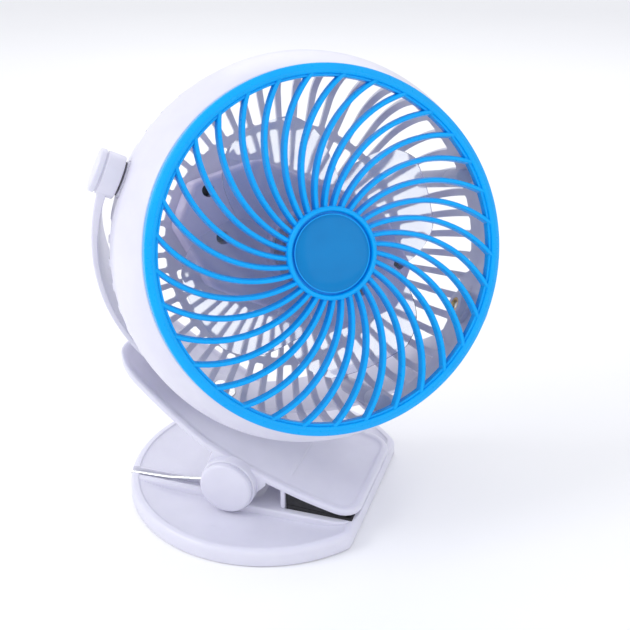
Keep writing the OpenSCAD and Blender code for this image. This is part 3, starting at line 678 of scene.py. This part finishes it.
def rear_grid():
    """The domed rear wall with two rings of radial slots, as one pierced sheet.

    Each slot has a column of points on either side and one in the middle of the next bar."""
    shape = Shape()
    outer, inner = [], []
    for i in range(SLOTS):
        c = i * TAU / SLOTS
        rows, inner_open = slot_rows(c)
        for part in (-1, 1, 2):
            def bearing(r, narrow):
                if part == 2:
                    return c + math.pi / SLOTS
                return c + part * math.asin((slot_half(r) - narrow) / r)
            out_column, in_column = [], []
            for r, z, out, narrow in rows:
                a = bearing(r, narrow)
                out_column.append(polar(r, a, z))
                in_column.append(polar(r - WALL * out.x, a, z - WALL * out.y))
            edge = bearing(DRUM_R, SLOT_END)
            out_column.append(polar(DRUM_R - 0.35, edge, SPLIT_Z - 0.05))
            in_column.append(polar(DRUM_R - WALL, edge, SPLIT_Z - 0.05))
            outer.append(([shape.point(p) for p in out_column], inner_open, part))
            inner.append([shape.point(p) for p in in_column])
    n = len(outer)
    count = len(inner[0])
    centres = [shape.point((0, 0, REAR_Z)), shape.point((0, 0, REAR_Z + WALL))]

    def is_open(j, k):
        _, inner_open, part = outer[j]
        return part == -1 and (k in OUTER_ROWS or (inner_open and k in INNER_ROWS))
    for j in range(n):
        m = (j + 1) % n
        a, b = outer[j][0], outer[m][0]
        c, d = inner[j], inner[m]
        shape.faces.append((centres[0], a[0], b[0]))
        shape.faces.append((centres[1], c[0], d[0]))
        for k in range(count - 1):
            if not is_open(j, k):
                shape.faces.append((a[k], a[k + 1], b[k + 1], b[k]))
                shape.faces.append((c[k], c[k + 1], d[k + 1], d[k]))
                continue
            shape.faces.append((a[k], a[k + 1], c[k + 1], c[k]))
            shape.faces.append((b[k], b[k + 1], d[k + 1], d[k]))
            if not is_open(j, k - 1):
                shape.faces.append((a[k], b[k], d[k], c[k]))
            if not is_open(j, k + 1):
                shape.faces.append((a[k + 1], b[k + 1], d[k + 1], c[k + 1]))
        shape.faces.append((a[-1], b[-1], d[-1], c[-1]))
    return shape


def rear_columns():
    """Screw columns that end on the inside of the dome."""
    columns = Shape()
    for spot in SCREW_SPOTS:
        columns.joined(at_screw(disc(COLUMN_R, REAR_Z - 2, SPLIT_Z - 0.06, HAIR, 40), spot))
    zs = [REAR_Z + 0.3 + (DOME_Z - REAR_Z) * (1 - math.cos(t)) for t in quarter(10)]
    profile = [(0, REAR_Z + 0.3)] + [(back_wall(z)[0] - 0.35, z) for z in zs]
    room = Shape().lathe(profile + [(DRUM_R - 0.35, SPLIT_Z + 1), (0, SPLIT_Z + 1)], 180)
    return carve(columns.mesh(HEAD), [room.mesh(HEAD)], "INTERSECT")


def rear_shell():
    """The slotted cover with its screw columns, pod posts, and openings for what shows behind."""
    panel = REAR_Z + WALL
    adds = Shape()
    cuts = Shape()
    for x, y in POD_SCREWS:
        adds.joined(disc(3, panel - 0.5, panel + 8, 0.4, 32).moved(shifted(x, y)))
        cuts.joined(disc(1.1, panel + 0.5, panel + 12, HAIR, 20).moved(shifted(x, y)))
    seat = SPLIT_Z - 8
    for spot in SCREW_SPOTS:
        cuts.joined(at_screw(disc(1.6, seat - 1, SPLIT_Z + 2, HAIR, 24), spot))
        cuts.joined(at_screw(disc(3, REAR_Z - 3, seat, HAIR, 32), spot))
    for side in (1, -1):
        cuts.joined(along_x(disc(PIVOT_BOSS_R + 0.35, 70, 90, HAIR, 96), side))
    door_low, door_high = extent("battery_door", HEAD)
    button_low, button_high = extent("power_button", HEAD)
    socket_low, socket_high = extent("usb_socket", HEAD)
    pipe_low, pipe_high = extent("light_pipe", HEAD)
    button_y = (button_low.y + button_high.y) / 2
    through = (REAR_Z - 1, panel + 1, HAIR)
    cuts.joined(bar(door_low.x - 0.2, door_low.y - 0.2, door_high.x + 0.2, door_high.y + 0.2,
                    *through, 1))
    cuts.joined(disc(5.3, *through).moved(shifted(0, button_y)))
    cuts.joined(bar(socket_low.x - 0.6, socket_low.y - 0.5, socket_high.x + 0.6,
                    socket_high.y + 0.5, *through, 1))
    cuts.joined(disc(1.6, *through, 24).moved(shifted((pipe_low.x + pipe_high.x) / 2, button_y)))
    solid = carve(rear_grid().mesh(HEAD), [adds.mesh(HEAD), rear_columns()], "UNION")
    return carve(solid, [cuts.mesh(HEAD)], "DIFFERENCE")


piece("front_housing", front_shell(), "head", WHITE, ["front_shell"], 32)
piece("rear_housing", rear_shell(), "head", WHITE, ["rear_shell"], 32)


# ---------- motor pod and impeller ----------

def motor_pod():
    """The long pod behind the wheel, with a collar for the motor and recessed screws."""
    low, high = extent("motor_pod", HEAD)
    collar_h = 6.5
    roof = high.z - collar_h
    skirt = low.z
    can_r = 12.25
    edge = 2.4
    levels = [(0.3, skirt), (0, skirt + 0.4), (0, roof - edge)]
    levels += [(edge * (1 - math.cos(t)), roof - edge + edge * math.sin(t))
               for t in quarter(6, 1)]
    solid = block(spaced(rounded(pod_corners(0, 5), 5), 6), levels)
    hollow = block(rounded(pod_corners(-2, 3), 5), [(0, skirt - 1), (0, roof - 2)])
    collar = Shape().lathe(rounded([
        (can_r, roof - 1, 0), (can_r + 5, roof - 1, 0), (can_r + 3.4, roof + 1.4, 1.2),
        (can_r + 3.2, roof + collar_h, 0.8), (can_r, roof + collar_h, 0.5),
    ], 5), 96)
    bore = disc(can_r, roof - 1.4, roof + 10, HAIR, 96)
    bosses = Shape()
    holes = Shape()
    for x, y in POD_SCREWS:
        bosses.joined(disc(3.8, -19.8, roof - 0.6, HAIR, 32).moved(shifted(x, y)))
        holes.joined(disc(2.8, -17.5, roof + 2, HAIR, 32).moved(shifted(x, y)))
        holes.joined(disc(1.4, -30, -17, HAIR, 20).moved(shifted(x, y)))
    shell = carve(solid.mesh(HEAD), [hollow.mesh(HEAD)], "DIFFERENCE")
    shell = carve(shell, [collar.mesh(HEAD), bosses.mesh(HEAD)], "UNION")
    cell_low, cell_high = extent("battery_cell", HEAD)
    cell_r = (cell_high.y - cell_low.y) / 2 + 0.3
    cell = along_x(disc(cell_r, cell_low.x - 3, cell_high.x + 2, HAIR, 64)).moved(
        shifted(0, (cell_low.y + cell_high.y) / 2, (cell_low.z + cell_high.z) / 2))
    return carve(shell, [bore.mesh(HEAD), holes.mesh(HEAD), cell.mesh(HEAD)], "DIFFERENCE")


HUB_R = 16.5
BLADES = 4
BLADE_ROOT = 15.6
BLADE_R = 57
BLADE_Z = 15
BLADE_PHASE = math.radians(47)
ROUND_FROM = 0.6  # the part of the blade's length where its tip starts to round off


def blade():
    """A broad, thin, cambered blade with a soft outline and an even edge."""
    rings = []
    stations = 20
    across = 13
    for i in range(stations + 1):
        r = BLADE_ROOT + (BLADE_R - BLADE_ROOT) * math.sin(math.pi / 2 * i / stations)
        part = (r - BLADE_ROOT) / (BLADE_R - BLADE_ROOT)
        half = 10 + 16.6 * math.sin(math.pi / 2 * min(1, part * 1.9)) ** 1.2
        if part > ROUND_FROM:
            half *= math.sqrt(max(0.03, 1 - ((part - ROUND_FROM) / 0.46) ** 3.4))
        pitch = math.radians(27 - 6 * part)
        front, back = [], []
        for k in range(across + 1):
            u = -1 + 2 * k / across
            y = u * half
            z = BLADE_Z + math.tan(pitch) * y - 1.6 * (1 - u * u) * part
            thick = 0.55 if abs(u) < 0.99 else 0.3
            x = math.sqrt(max(0, r * r - y * y))
            front.append(Vector((x, y, z + thick)))
            back.append(Vector((x, y, z - thick)))
        rings.append(front + back[::-1])
    return Shape().skin(rings)


def impeller():
    """The clear wheel: a cupped hub and its blades."""
    top = extent("impeller", HEAD)[1].z
    hub = Shape().lathe(rounded([
        (HUB_R - 1.8, 8, 0.3), (HUB_R, 8, 0.4), (HUB_R, top, 2.2), (3, top, 0.2),
        (3, top - 5, 0.2), (HUB_R - 1.8, top - 4, 1.5),
    ], 5), 96)
    blades = Shape()
    for i in range(BLADES):
        blades.joined(blade().moved(turned(BLADE_PHASE + i * TAU / BLADES)))
    return carve(hub.mesh(HEAD), [blades.mesh(HEAD)], "UNION")


# The pod's paler tone carries painted light in place of the light that reaches it through the
# wheel.
piece("pod_housing", motor_pod(), "head", POD_PAINTED_LIGHT, ["motor_pod"], 32)
piece("fan_wheel", impeller(), "rotor", CLEAR, ["impeller"], 40)


# ---------- yoke ----------

YOKE_H = (Vector(tilt["pos_m"]) - Vector(swivel["pos_m"])).length / MM
BAND_RI = 88.1
BAND_T = 2.6
BAND_W = 14.8
BAND_FLARE = 14
EYE_IN = 85
EYE_OUT = 93
EYE_R = 9.2
PLAIN_R = 7.2
PLAIN_OUT = 90.4
POCKET_R = 5.3
PLUG_R = 5.2


def ease(t, t0, t1):
    """A smooth rise from 0 at t0 to 1 at t1."""
    u = max(0, min(1, (t - t0) / (t1 - t0)))
    return u * u * (3 - 2 * u)


def band_back(t):
    """How far back the band reaches, at an angle in degrees from its nearer end."""
    return BAND_W / 2 - 0.02 + BAND_FLARE * ease(t, 4, 36) * (1 - 0.8 * ease(t, 46, 88))


def yoke():
    """The half ring with a round eye on the left, a plain end on the right and a foot below."""
    rings = []
    steps = 96
    for i in range(steps + 1):
        t = math.pi * i / steps
        from_end = math.degrees(min(t, math.pi - t))
        swell = 1.6 * max(0, 1 - math.degrees(math.pi - t) / 30) ** 2
        back = band_back(from_end)
        section = rounded([
            (BAND_RI, -BAND_W / 2, 0.4), (BAND_RI + BAND_T + swell, -BAND_W / 2, 0.9),
            (BAND_RI + BAND_T + swell, back, 0.9), (BAND_RI, back, 0.4),
        ], 4)
        rings.append([Vector((p.x * math.cos(t), p.y, -p.x * math.sin(t))) for p in section])
    band = Shape().skin(rings)
    foot_z = -YOKE_H + 1.05
    eye = Shape().lathe(rounded([
        (0, EYE_IN, 0), (EYE_R - HAIR, EYE_IN, 0.6), (EYE_R - HAIR, EYE_OUT - 0.9, 0.5),
        (EYE_R - 0.7, EYE_OUT - 0.5, 0.2), (EYE_R - 0.7, EYE_OUT, 0.1), (0, EYE_OUT, 0),
    ], 4, closed=False), 96)
    foot = Shape().lathe([
        (0, foot_z), (10.4, foot_z), (11, foot_z + 0.6), (11, -BAND_RI - 2.4),
        (10.2, -BAND_RI - 1.2), (8, -BAND_RI - 0.3), (0, -BAND_RI - 0.3),
    ], 72)
    adds = [along_x(eye, -1), along_x(disc(PLAIN_R, EYE_IN, PLAIN_OUT, 0.5, 72)), foot]
    cuts = [along_x(disc(2.55, -100, 100, HAIR, 40)),
            along_x(disc(POCKET_R, EYE_OUT - 3.2, 100, HAIR, 48), -1),
            along_x(disc(POCKET_R, PLAIN_OUT - 3.4, 100, HAIR, 48)),
            disc(3.05, -YOKE_H - 5, -BAND_RI + 5, HAIR, 32),
            disc(5.7, -YOKE_H + 3.3, -BAND_RI + 5, HAIR, 48)]
    solid = carve(band.mesh(YOKE), [a.mesh(YOKE) for a in adds], "UNION")
    return carve(solid, [c.mesh(YOKE) for c in cuts], "DIFFERENCE")


def yoke_cap():
    """A round cover with a soft edge and a shallow crown, over the left pivot screw."""
    profile = [(0, EYE_OUT - 0.6), (3.6, EYE_OUT - 0.6)] + rounded([
        (PLUG_R, EYE_OUT - 0.6, 0), (PLUG_R, EYE_OUT + 0.05, 0), (EYE_R, EYE_OUT + 0.05, 0.35),
        (EYE_R, EYE_OUT + 2.75, 1.1), (EYE_R - 4, EYE_OUT + 2.88, 3),
    ], 6, closed=False) + [(0, EYE_OUT + 2.9)]
    return along_x(Shape().lathe(profile, 96), -1).mesh(YOKE)


def yoke_plug():
    """The flush plug in the right arm's screw pocket."""
    return along_x(disc(PLUG_R, PLAIN_OUT - 1.1, PLAIN_OUT - 0.1, 0.25, 64)).mesh(YOKE)


piece("yoke_arm", yoke(), "yoke", WHITE, ["yoke"], 35)
piece("yoke_cap_left", yoke_cap(), "yoke", WHITE, ["left_yoke_cap"], 35)
piece("yoke_cap_right", yoke_plug(), "yoke", WHITE, ["right_yoke_cap"], 35)


# ---------- upper jaw ----------

JAW_CURVE = 220
SEAT_LEAN = math.radians(31)
SEAT_X, SEAT_Z = -24, 42.7
SEAT_DEPTH = 1.5
CURVE_X = SEAT_X + JAW_CURVE * math.sin(SEAT_LEAN)
CURVE_Z = SEAT_Z - SEAT_DEPTH + JAW_CURVE * math.cos(SEAT_LEAN)
JAW_T = 3.2
MOUTH_X = jaw_high.x
HALF_W = 33
PIVOT_X = clip["pos_m"][0] / MM
PIVOT_Z = clip["pos_m"][2] / MM
EAR_IN = 31
EAR_R = 13.2
EAR_OUT = jaw_high.y
PIN_R = 2


def at_pivot(shape):
    """A shape made about Z, laid along Y at the clip's pivot."""
    return shape.moved(SWAP_YZ).moved(shifted(PIVOT_X, 0, PIVOT_Z))


def plate_z(x, depth=0):
    """Height of the curved plate's top, or of a surface some depth under it."""
    return CURVE_Z - math.sqrt((JAW_CURVE + depth) ** 2 - (x - CURVE_X) ** 2)


def half_outline(corners, inset, radii, cuts, arc=6):
    """Half of a symmetric outline, moved inwards, with the same points at any inset.

    corners run from the mouth (y = 0 side) to the tail; cuts says how many parts each
    straight stretch between two of them has."""
    lines = []
    ends = [Vector((corners[0][0], 0)), *map(Vector, corners), Vector((corners[-1][0], 0))]
    for a, b in zip(ends, ends[1:]):
        d = (b - a).normalized()
        inner = Vector((-d.y, d.x))
        lines.append((a + inner * inset, d))
    moved = []
    for (p, d), (q, e) in zip(lines, lines[1:]):
        t = ((q.x - p.x) * e.y - (q.y - p.y) * e.x) / (d.x * e.y - d.y * e.x)
        moved.append(p + d * t)
    loop = [(moved[0].x, 0, 0)]
    loop += [(c.x, c.y, max(0.2, r - inset)) for c, r in zip(moved, radii)]
    loop.append((moved[-1].x, 0, 0))
    points = rounded(loop, arc, closed=False)[1:-1]
    groups = [points[i * (arc + 1):(i + 1) * (arc + 1)] for i in range(len(corners))]
    out = []
    for i, group in enumerate(groups):
        out += group
        if i + 1 < len(groups):
            a, b = group[-1], groups[i + 1][0]
            out += [a.lerp(b, k / cuts[i]) for k in range(1, cuts[i])]
    return out


def slab(half_at, levels, height):
    """A closed solid over a symmetric outline. half_at(inset) gives half the outline, levels
    are (inset, value), and height(x, value) gives a point's z."""
    shape = Shape()
    rows = []
    for inset, value in levels:
        half = half_at(inset)
        ring = [Vector((p.x, p.y, height(p.x, value))) for p in half]
        ring += [Vector((p.x, -p.y, height(p.x, value))) for p in reversed(half)]
        rows.append([shape.point(p) for p in ring])
    for a, b in zip(rows, rows[1:]):
        shape.bridge(a, b)
    for row in (rows[0], rows[-1]):
        n = len(row)
        for k in range(n // 2 - 1):
            shape.faces.append((row[k], row[k + 1], row[n - 2 - k], row[n - 1 - k]))
    return shape


def jaw_half(inset):
    """Half of the plate's outline: straight at the mouth, tapering to the handle."""
    corners = [(MOUTH_X, HALF_W), (-19.4, HALF_W), (-65, 26.2)]
    return half_outline(corners, inset, [10, 22, 12], [26, 16])


def jaw_plate():
    """The curved plate, with a raised edge round a shallow hollow."""
    lip = 1.1
    sink = 0.9
    under, over = 0.9, 1.3
    edge = [(under * (1 - math.sin(t)), JAW_T - under + under * math.cos(t)) for t in quarter(4)]
    edge += [(over * (1 - math.cos(t)), over - over * math.sin(t)) for t in quarter(5)]
    edge += [(2.3, 0.05), (2.9, 0.25), (3.5, 0.7), (4.2, lip)]
    edge += [(4.2 + 20 * k / 10, lip + sink * (1 - (1 - k / 10) ** 2)) for k in range(1, 11)]
    return slab(jaw_half, edge, plate_z)


def ear(side):
    """The web from the notch to the pads, with the round boss at the pivot."""
    under = 1.4
    web = rounded([
        (-14.5, plate_z(-14.5, under), 0), (-8, plate_z(-8, under), 0), (0, plate_z(0, under), 0),
        (6, plate_z(6, under), 0), (11, plate_z(11, under), 0), (10.5, 19.6, 1),
        (PIVOT_X + EAR_R, PIVOT_Z - 3, 0), (PIVOT_X, PIVOT_Z, 0),
        (PIVOT_X - EAR_R + 1.4, PIVOT_Z + 6, 0.5),
    ], 3)
    shape = block(web, soft_levels(EAR_IN, HALF_W, 0.3, 2)).moved(SWAP_YZ)
    boss = at_pivot(disc(EAR_R, EAR_IN, EAR_OUT, 0.6, 96))
    if side < 0:
        mirror = Matrix.Scale(-1, 4, (0, 1, 0))
        shape.moved(mirror)
        boss.moved(mirror)
    return shape, boss


def upper_jaw():
    """The lever: plate, ears, the yoke's seat and the wall that stops whatever is clamped."""
    adds = []
    for side in (1, -1):
        adds += [s.mesh() for s in ear(side)]
    seat = Shape().lathe(rounded([
        (0, -9, 0), (13, -9, 0.6), (13, -0.9, 0.4), (12.4, 0, 0.5), (0, 0, 0),
    ], 4, closed=False), 96)
    adds.append(seat.mesh(SEAT))
    stop = bar(17.6, -HALF_W + 0.6, 19.6, HALF_W - 0.6, 8.8, plate_z(18.6, 1.8), 0.3, 0.3)
    adds.append(stop.mesh())
    solid = carve(jaw_plate().mesh(), adds, "UNION")
    pin = at_pivot(disc(PIN_R, -50, 50, HAIR, 40))
    screw = disc(3, -20, 20, HAIR, 40)
    under = disc(7.2, -29, -9, HAIR, 48)
    return carve(solid, [pin.mesh(), screw.mesh(SEAT), under.mesh(SEAT)], "DIFFERENCE")


# ---------- lower jaw and base ----------

BASE_R = 67
BASE_X = base_high.x
BASE_CORNER = 8
RIM_H = 8
RIM_EDGE = 2.4
DISH_FROM, DISH_TO = 4.6, 26  # how far inside the outline the dish starts and ends
DISH_DROP = 0.8
FLOOR = 4.5
PLATFORM_HALF = 34.5
LUG_OUT = 30.7
LUG_T = 4
LUG_R = 8.2
GROOVE_Y = -23.5
GROOVE_HALF = 2.6


def base_half(inset):
    """Half of the round base, cut straight at the mouth, with a round corner there."""
    r, x = BASE_R - inset, BASE_X - inset
    soft = max(0.3, BASE_CORNER - inset)
    meet = math.acos((x - soft) / (r - soft))
    centre = Vector((x - soft, (r - soft) * math.sin(meet)))
    turn = [meet * k / 4 for k in range(5)]
    out = [centre + soft * Vector((math.cos(t), math.sin(t))) for t in turn]
    steps = 72
    out += [Vector((r * math.cos(t), r * math.sin(t)))
            for t in [meet + (math.pi - 0.002 - meet) * k / steps for k in range(1, steps + 1)]]
    return out


def base_body():
    """The base's disc: a round edge, a narrow rim and a dish that eases down to the floor."""
    levels = [(1.1, 0), (0.3, 0.25), (0, 0.9), (0, RIM_H - RIM_EDGE)]
    levels += [(RIM_EDGE * (1 - math.cos(t)), RIM_H - RIM_EDGE + RIM_EDGE * math.sin(t))
               for t in quarter(6, 1)]
    levels += [(3.2, RIM_H), (3.6, RIM_H - 0.1), (3.9, RIM_H - 0.5),
               (DISH_FROM, RIM_H - DISH_DROP)]
    levels += [(DISH_FROM + (DISH_TO - DISH_FROM) * u,
                FLOOR + (RIM_H - DISH_DROP - FLOOR) * (1 - u) ** 2)
               for u in [k / 10 for k in range(1, 11)]]
    return slab(base_half, levels, lambda x, z: z)


def platform_half(inset):
    corners = [(BASE_X, PLATFORM_HALF), (-8, PLATFORM_HALF)]
    return half_outline(corners, inset, [10, 2], [6])


def lower_jaw():
    """The base with its platform, the spring's channel, the pivot lugs and the pad's seat."""
    levels = [(0.3, 0.5), (0, 0.8), (0, RIM_H - 1)]
    levels += [(1 - math.cos(t), RIM_H - 1 + math.sin(t)) for t in quarter(4, 1)]
    platform = slab(platform_half, levels, lambda x, z: z + 0.003)
    near = bar(-BASE_R + 9.5, GROOVE_Y - 6.4, PIVOT_X, GROOVE_Y - GROOVE_HALF,
               FLOOR - 1, RIM_H - 0.3, 0.9, 0.8)
    far = bar(-BASE_R + 3.5, GROOVE_Y + GROOVE_HALF, PIVOT_X, GROOVE_Y + 4.4,
              FLOOR - 1, RIM_H - 0.5, 0.6, 0.6)
    adds = [platform.mesh(), near.mesh(), far.mesh()]
    for side in (1, -1):
        y0 = LUG_OUT - LUG_T if side > 0 else -LUG_OUT
        outline = [Vector((PIVOT_X + LUG_R * math.cos(t), PIVOT_Z + LUG_R * math.sin(t)))
                   for t in [math.pi * k / 24 for k in range(25)]]
        outline += [Vector((PIVOT_X - LUG_R, 1)), Vector((PIVOT_X + LUG_R, 1))]
        lug = block(outline, soft_levels(y0, y0 + LUG_T, 0.4, 2))
        adds.append(lug.moved(SWAP_YZ).mesh())
    solid = carve(base_body().mesh(), adds, "UNION")
    cuts = [
        bar(-BASE_R - 1, GROOVE_Y - GROOVE_HALF, -6, GROOVE_Y + GROOVE_HALF, 4.4, 14, HAIR, HAIR),
        bar(PIVOT_X - 13, -LUG_OUT + LUG_T, PIVOT_X + 13, LUG_OUT - LUG_T,
            FLOOR + 0.5, 25, HAIR, HAIR),
        bar(19.8, -31.2, 51.2, 31.2, RIM_H - 1.5, RIM_H + 3.5, HAIR, HAIR),
        at_pivot(disc(PIN_R, -50, 50, HAIR, 40)),
    ]
    for side in (1, -1):
        y0 = LUG_OUT if side > 0 else -50
        cuts.append(at_pivot(disc(EAR_R + 0.7, y0, y0 + 19.3, HAIR, 96)))
    return carve(solid, [c.mesh() for c in cuts], "DIFFERENCE")


def pivot_cap(side):
    """A round cap with a soft edge and a gentle crown."""
    high = extent("near_pivot_cap", PIVOT)[1]
    r = high.x
    back = EAR_OUT + 0.05
    profile = [(0, back)] + rounded([
        (2, back, 0), (r, back, 0.5), (r, high.z - 0.5, 1.5), (r - 5, high.z - 0.1, 6),
    ], 8, closed=False) + [(0, high.z)]
    shape = Shape().lathe(profile, 128)
    if side > 0:
        shape.moved(Matrix.Scale(-1, 4, (0, 0, 1)))
    return shape.mesh(PIVOT)


COIL_R = 6
COIL_PITCH = 2
COIL_TURNS = 4
COIL_START = math.radians(-101)
LEG_LEAN = math.radians(148.5)
COIL_END = TAU * COIL_TURNS + LEG_LEAN - math.pi / 2
WIRE_R = 0.9
LEG_LENGTH = 38


def coil(t):
    """A point on the wire's turns round the pin."""
    return Vector((PIVOT_X + COIL_R * math.cos(t), GROOVE_Y + COIL_PITCH * (t - COIL_START) / TAU,
                   PIVOT_Z + COIL_R * math.sin(t)))


def torsion_spring():
    """One wire: a leg in the base's channel, four turns round the pin, a leg under the handle."""
    sweep = COIL_END - COIL_START
    steps = int(sweep / TAU * 30)
    low = [Vector((-BASE_R + 4, GROOVE_Y, 6)), Vector((-BASE_R + 24, GROOVE_Y, 6.9))]
    leg = Vector((math.cos(LEG_LEAN), 0, math.sin(LEG_LEAN))) * LEG_LENGTH
    path = low + [low[1].lerp(coil(COIL_START), k / 8) for k in range(1, 8)]
    path += [coil(COIL_START + sweep * k / steps) for k in range(steps + 1)]
    path += [coil(COIL_END) + leg * k / 4 for k in range(1, 5)]
    return tube(path, WIRE_R, 16).mesh()


piece("clip_upper", upper_jaw(), "clip", WHITE, ["upper_jaw"], 35)
piece("clip_base", lower_jaw(), "base", WHITE, ["lower_jaw"], 35)
piece("pivot_cap_near", pivot_cap(-1), "base", WHITE, ["near_pivot_cap"], 35)
piece("pivot_cap_far", pivot_cap(1), "base", WHITE, ["far_pivot_cap"], 35)
spring = piece("clip_spring", torsion_spring(), None, STEEL, ["torsion_spring"], 60)
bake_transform(spring)


# ---------- nodes carried over from the CAD with finer materials ----------

CARRIED = {
    "lower_pad": RUBBER, "upper_pad": RUBBER, "swivel_washer": FIBRE, "tilt_washers": FIBRE,
    "pivot_pin": STEEL, "swivel_screw": STEEL, "swivel_nut": STEEL, "shell_screws": STEEL,
    "tilt_screws": STEEL, "pod_screws": OXIDE, "door_screw": STEEL, "motor_shaft": STEEL,
    "tilt_inserts": BRASS, "front_bush": BRASS, "rear_bush": BRASS, "impeller_insert": BRASS,
    "motor_can": CAN, "motor_end_cap": IVORY, "battery_cell": WRAP, "battery_plate": NICKEL,
    "battery_spring": NICKEL, "battery_door": WHITE, "circuit_board": BOARD, "usb_socket": NICKEL,
    "button_switch": BLACK, "power_button": BLUE, "light_pipe": PIPE,
}
for name, material in CARRIED.items():
    mesh = frame["nodes"][name].data
    mesh.materials.clear()
    mesh.materials.append(material)


# ---------- camera, floor and light ----------

AIM = Vector((0.0226, 0.0046, 0.0905))
AZIMUTH = math.radians(18.24)
ELEVATION = math.radians(25.91)
ROLL = math.radians(-0.36)
DISTANCE = 0.46
SENSOR = 36
LENS = 58.08
SKY = (0.95, 0.96, 1.0, 1)
SKY_STRENGTH = 0.92
LIGHTS = {  # place in metres, size, watts
    "key": ((-0.75, -0.45, 0.8), (0.6, 0.6), 4.6),
    "fill": ((0.9, -0.5, 0.45), (0.7, 0.7), 1.1),
    "back": ((-0.2, 0.9, 0.7), (0.9, 0.6), 1.5),
}
LIT = Vector((0, 0, 0.11))  # where the lights point
FLOOR_HALF = 3000
FLOOR_TOP = -0.2


def camera():
    data = bpy.data.cameras.new("camera")
    data.sensor_width = SENSOR
    data.lens = LENS
    data.clip_start = 0.01
    data.clip_end = 20
    obj = bpy.data.objects.new("camera", data)
    bpy.context.scene.collection.objects.link(obj)
    back = Vector((math.sin(AZIMUTH) * math.cos(ELEVATION),
                   -math.cos(AZIMUTH) * math.cos(ELEVATION), math.sin(ELEVATION)))
    turn = (-back).to_track_quat("-Z", "Y").to_matrix().to_4x4()
    obj.matrix_world = Matrix.Translation(AIM + back * DISTANCE) @ turn @ turned(ROLL)
    bpy.context.scene.camera = obj


def area(name, location, size, power):
    data = bpy.data.lights.new(name, "AREA")
    data.shape = "RECTANGLE"
    data.size, data.size_y = size
    data.energy = power
    obj = bpy.data.objects.new(name, data)
    bpy.context.scene.collection.objects.link(obj)
    obj.location = location
    obj.rotation_mode = "QUATERNION"
    obj.rotation_quaternion = (LIT - Vector(location)).to_track_quat("-Z", "Y")


def studio():
    """A pale floor, a pale sky and three soft lights."""
    corners = ((-1, -1), (1, -1), (1, 1), (-1, 1))
    floor = Shape().skin([
        [Vector((x * FLOOR_HALF, y * FLOOR_HALF, z)) for x, y in corners]
        for z in (-12, FLOOR_TOP)
    ])
    obj = as_object(floor.mesh(), "floor")
    obj.data.materials.append(finish_of(
        "floor_paint", (0.93, 0.93, 0.94), (0.95, 0.95, 0.96), (0.6, 0.7),
        patch=3, grain=900, bump=0.02))
    world = bpy.data.worlds.new("studio")
    bpy.context.scene.world = world
    world.use_nodes = True
    sky = world.node_tree.nodes["Background"]
    sky.inputs["Color"].default_value = SKY
    sky.inputs["Strength"].default_value = SKY_STRENGTH
    for name, settings in LIGHTS.items():
        area(name, *settings)


camera()
studio()
bpy.context.scene.view_settings.view_transform = "Standard"
